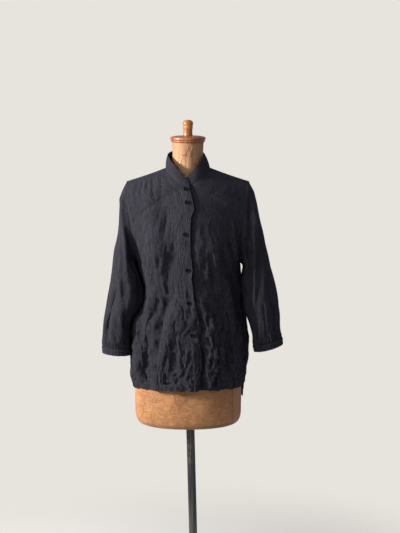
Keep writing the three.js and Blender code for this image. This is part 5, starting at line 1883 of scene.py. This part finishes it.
@dataclass(frozen=True)
class CastIron:
    """Dark painted cast iron, grainy, rubbed brighter in fine flecks."""

    iron: Colour = (0.045, 0.046, 0.046)
    dust: Colour = (0.085, 0.083, 0.078)
    rubbed: Colour = (0.15, 0.14, 0.13)

    def paint(self) -> bpy.types.Material:
        """Makes the material: fine and coarse noise for the casting's skin, and dust in cloudy patches.

        Returns:
            The material.
        """
        p = Paint("cast_iron", self.iron, 0.55, Metallic=0.4)
        place = p.place()
        grain = p.noise(place, 420.0, 3.0)
        cloud = p.noise(place, 24.0, 4.0)
        tone = p.mix(cloud.between(0.4, 0.7), self.iron, self.dust)
        tone = p.mix(grain.between(0.6, 0.75) * 0.4, tone, self.rubbed)
        p.feed("Base Color", tone)
        p.feed("Roughness", 0.42 + grain * 0.3)
        p.bump(grain * 0.5 + cloud * 0.8, 0.0006)
        return p.material


class Slot(Enum):
    """The record's material slots."""

    CLOTH = "cloth"
    BUTTON = "button"
    SKIN = "form_skin"
    CAP = "cap_wood"
    KNOB = "knob_wood"
    POLE = "pole_steel"
    BASE = "base_iron"


def stand_for(
    piece: bpy.types.Object, material: bpy.types.Material, slot: Slot, *nodes: str
) -> bpy.types.Object:
    """Dresses a piece, lets it ride on the object and puts it in the place of CAD nodes.

    Args:
        piece: The new piece.
        material: Its finish.
        slot: Not used.
        *nodes: The nodes that it stands for.

    Returns:
        The piece.
    """
    piece.data.materials.append(material)
    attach(piece, "root")
    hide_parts(*nodes)
    log.info("made %s with %d faces", piece.name, len(piece.data.polygons))
    return piece


@dataclass(frozen=True)
class Studio:
    """The camera at the photograph's place, the light and the floor."""

    focal: float = 36.0 * 1185.0 / 533.0
    eye: tuple[float, float, float] = (0.0152, -3.6, 1.707)
    pitch: float = math.atan((266.5 - 80.0) / 1185.0)
    wall: Colour = (0.80, 0.775, 0.725)
    sky: Colour = (0.75, 0.77, 0.88)
    ambient: float = 0.35
    lit: tuple[float, float, float] = (0.0, 0.0, 1.15)

    def camera(self) -> None:
        """Sets up the camera: level from side to side and looking a little down."""
        data = bpy.data.cameras.new("camera")
        data.lens, data.sensor_width = self.focal, 36.0
        data.clip_start, data.clip_end = 0.05, 60.0
        camera = bpy.data.objects.new("camera", data)
        camera.location = self.eye
        camera.rotation_euler = (math.pi / 2 - self.pitch, 0.0, 0.0)
        bpy.context.scene.collection.objects.link(camera)
        bpy.context.scene.camera = camera

    def lamp(
        self, name: str, place: tuple, size: float, power: float, colour: Colour
    ) -> None:
        """Adds a square soft light, turned to the shirt.

        Args:
            name: Its name.
            place: Where it hangs, in metres.
            size: Its side in metres.
            power: Its power in watts.
            colour: Its colour.
        """
        data = bpy.data.lights.new(name, "AREA")
        data.size, data.energy, data.color = size, power, colour
        light = bpy.data.objects.new(name, data)
        light.location = place
        way = Vector(self.lit) - Vector(place)
        light.rotation_euler = way.to_track_quat("-Z", "Y").to_euler()
        bpy.context.scene.collection.objects.link(light)

    def light(self) -> None:
        """A pale room, a small window low at the picture's left and a weak, wide one high in front of it.

        The camera sees the wall's colour at full strength, and the pieces are lit by the sky's at a part.
        """
        world = bpy.data.worlds.new("pale_room")
        bpy.context.scene.world = world
        world.use_nodes = True
        tree = world.node_tree
        back = tree.nodes["Background"]
        seen = Wire.of_node(tree, "LightPath", output="Is Camera Ray")
        sky, wall = (*self.sky, 1.0), (*self.wall, 1.0)
        tint = Wire.of_node(tree, "MixRGB", output="Color", Fac=seen, Color1=sky, Color2=wall)
        strength = self.ambient + seen * (1.0 - self.ambient)
        tree.links.new(tint.socket, back.inputs["Color"])
        tree.links.new(strength.socket, back.inputs["Strength"])
        self.lamp("window", (-2.85, -0.95, 2.05), 0.55, 190.0, (1.0, 0.985, 0.96))
        self.lamp("far_window", (-1.9, -2.5, 2.9), 1.2, 34.0, (0.93, 0.96, 1.0))
        bpy.context.scene.view_settings.view_transform = "Standard"

    def floor(self) -> None:
        """A pale disc on the ground that fades into the room."""
        turn = np.linspace(0, 2 * math.pi, 96, endpoint=False)
        radius = np.array([0.0, 400.0, 900.0, 1500.0])[:, None]
        x, y = radius * np.cos(turn), radius * np.sin(turn)
        rings = np.stack(np.broadcast_arrays(x, y, 0 * radius - 0.6), axis=-1)
        number = np.arange(4 * 96).reshape(4, 96)
        beside = np.roll(number, -1, axis=1)
        quads = np.stack([number[:-1], number[1:], beside[1:], beside[:-1]], axis=-1).reshape(-1, 4)
        floor = make_mesh("floor", rings.reshape(-1, 3), quads)
        p = Paint("pale_floor", (0.74, 0.72, 0.68), 0.9)
        x, y, _ = p.parts(p.place())
        away = (x * x + y * y) ** 0.5
        clear = p.node("BsdfTransparent")
        shade = Wire(p.tree, p.shader.outputs[0])
        mixed = p.node("MixShader", i0=away.between(0.5, 1.35), i1=shade, i2=clear)
        p.tree.links.new(mixed.socket, p.tree.nodes["Material Output"].inputs["Surface"])
        floor.data.materials.append(p.material)


def build_form() -> None:
    """Builds the form, its cap and knob, the pole and the base."""
    form, stand = DressForm(), Stand()
    cap_foot = form.neck_top + 0.3
    knob_foot = cap_foot + 20.0 + 0.3
    cap_wood = TurnedWood("cap_wood", (0.46, 0.165, 0.06), (0.22, 0.07, 0.025))
    knob_wood = TurnedWood("knob_wood", (0.54, 0.205, 0.05), (0.30, 0.095, 0.022))
    stand_for(form.skin(), PastedPaper().paint(), Slot.SKIN, "form_body")
    cap = form.turned_piece("wooden_cap", form.cap, cap_foot)
    stand_for(cap, cap_wood.paint(), Slot.CAP, "neck_cap")
    knob = form.turned_piece("wooden_knob", form.knob, knob_foot)
    stand_for(knob, knob_wood.paint(), Slot.KNOB, "cap_knob")
    stand_for(stand.pole(), DrawnSteel().paint(), Slot.POLE, "stand_pole")
    stand_for(stand.foot(), CastIron().paint(), Slot.BASE, "stand_base")


def build_shirt() -> None:
    """Builds the shirt's pieces, and gives each its finish."""
    shirt = Shirt()
    shirt.work_out()
    pieces = ShirtPieces(shirt)
    cloth = WashedCloth().paint()
    button = BlackButton().paint()

    def cut(
        piece: bpy.types.Object, node: str
    ) -> None:
        stand_for(piece, cloth, Slot.CLOTH, node)

    cut(pieces.panel("right"), "front_right")
    cut(pieces.panel("left"), "front_left")
    cut(pieces.back_panel(), "back")
    for word, offset in (("right", 150.0), ("left", 210.0)):
        sleeve = pieces.tube("set_in_sleeve_" + word, "sleeve_" + word, shirt.cloth, offset)
        cut(sleeve, "sleeve_" + word)
    for word, offset in (("right", 260.0), ("left", 290.0)):
        cuff = pieces.tube("cuff_band_" + word, "cuff_" + word, shirt.cuff_cloth, offset)
        cut(cuff, "cuff_" + word)
    cut(pieces.band("placket_band", "placket", shirt.cloth, 320.0), "placket")
    cut(pieces.band("standing_collar", "collar", shirt.collar_cloth, 350.0), "collar")
    for number, (height, from_edge) in enumerate(shirt.buttons, 1):
        stand_for(pieces.button(number, height, from_edge), button, Slot.BUTTON, f"button_{number}")


def main() -> None:
    """Builds the studio, the form and the shirt."""
    studio = Studio()
    studio.camera()
    studio.light()
    studio.floor()
    build_form()
    build_shirt()
    bpy.context.view_layer.update()


if __name__ == "__main__":
    main()
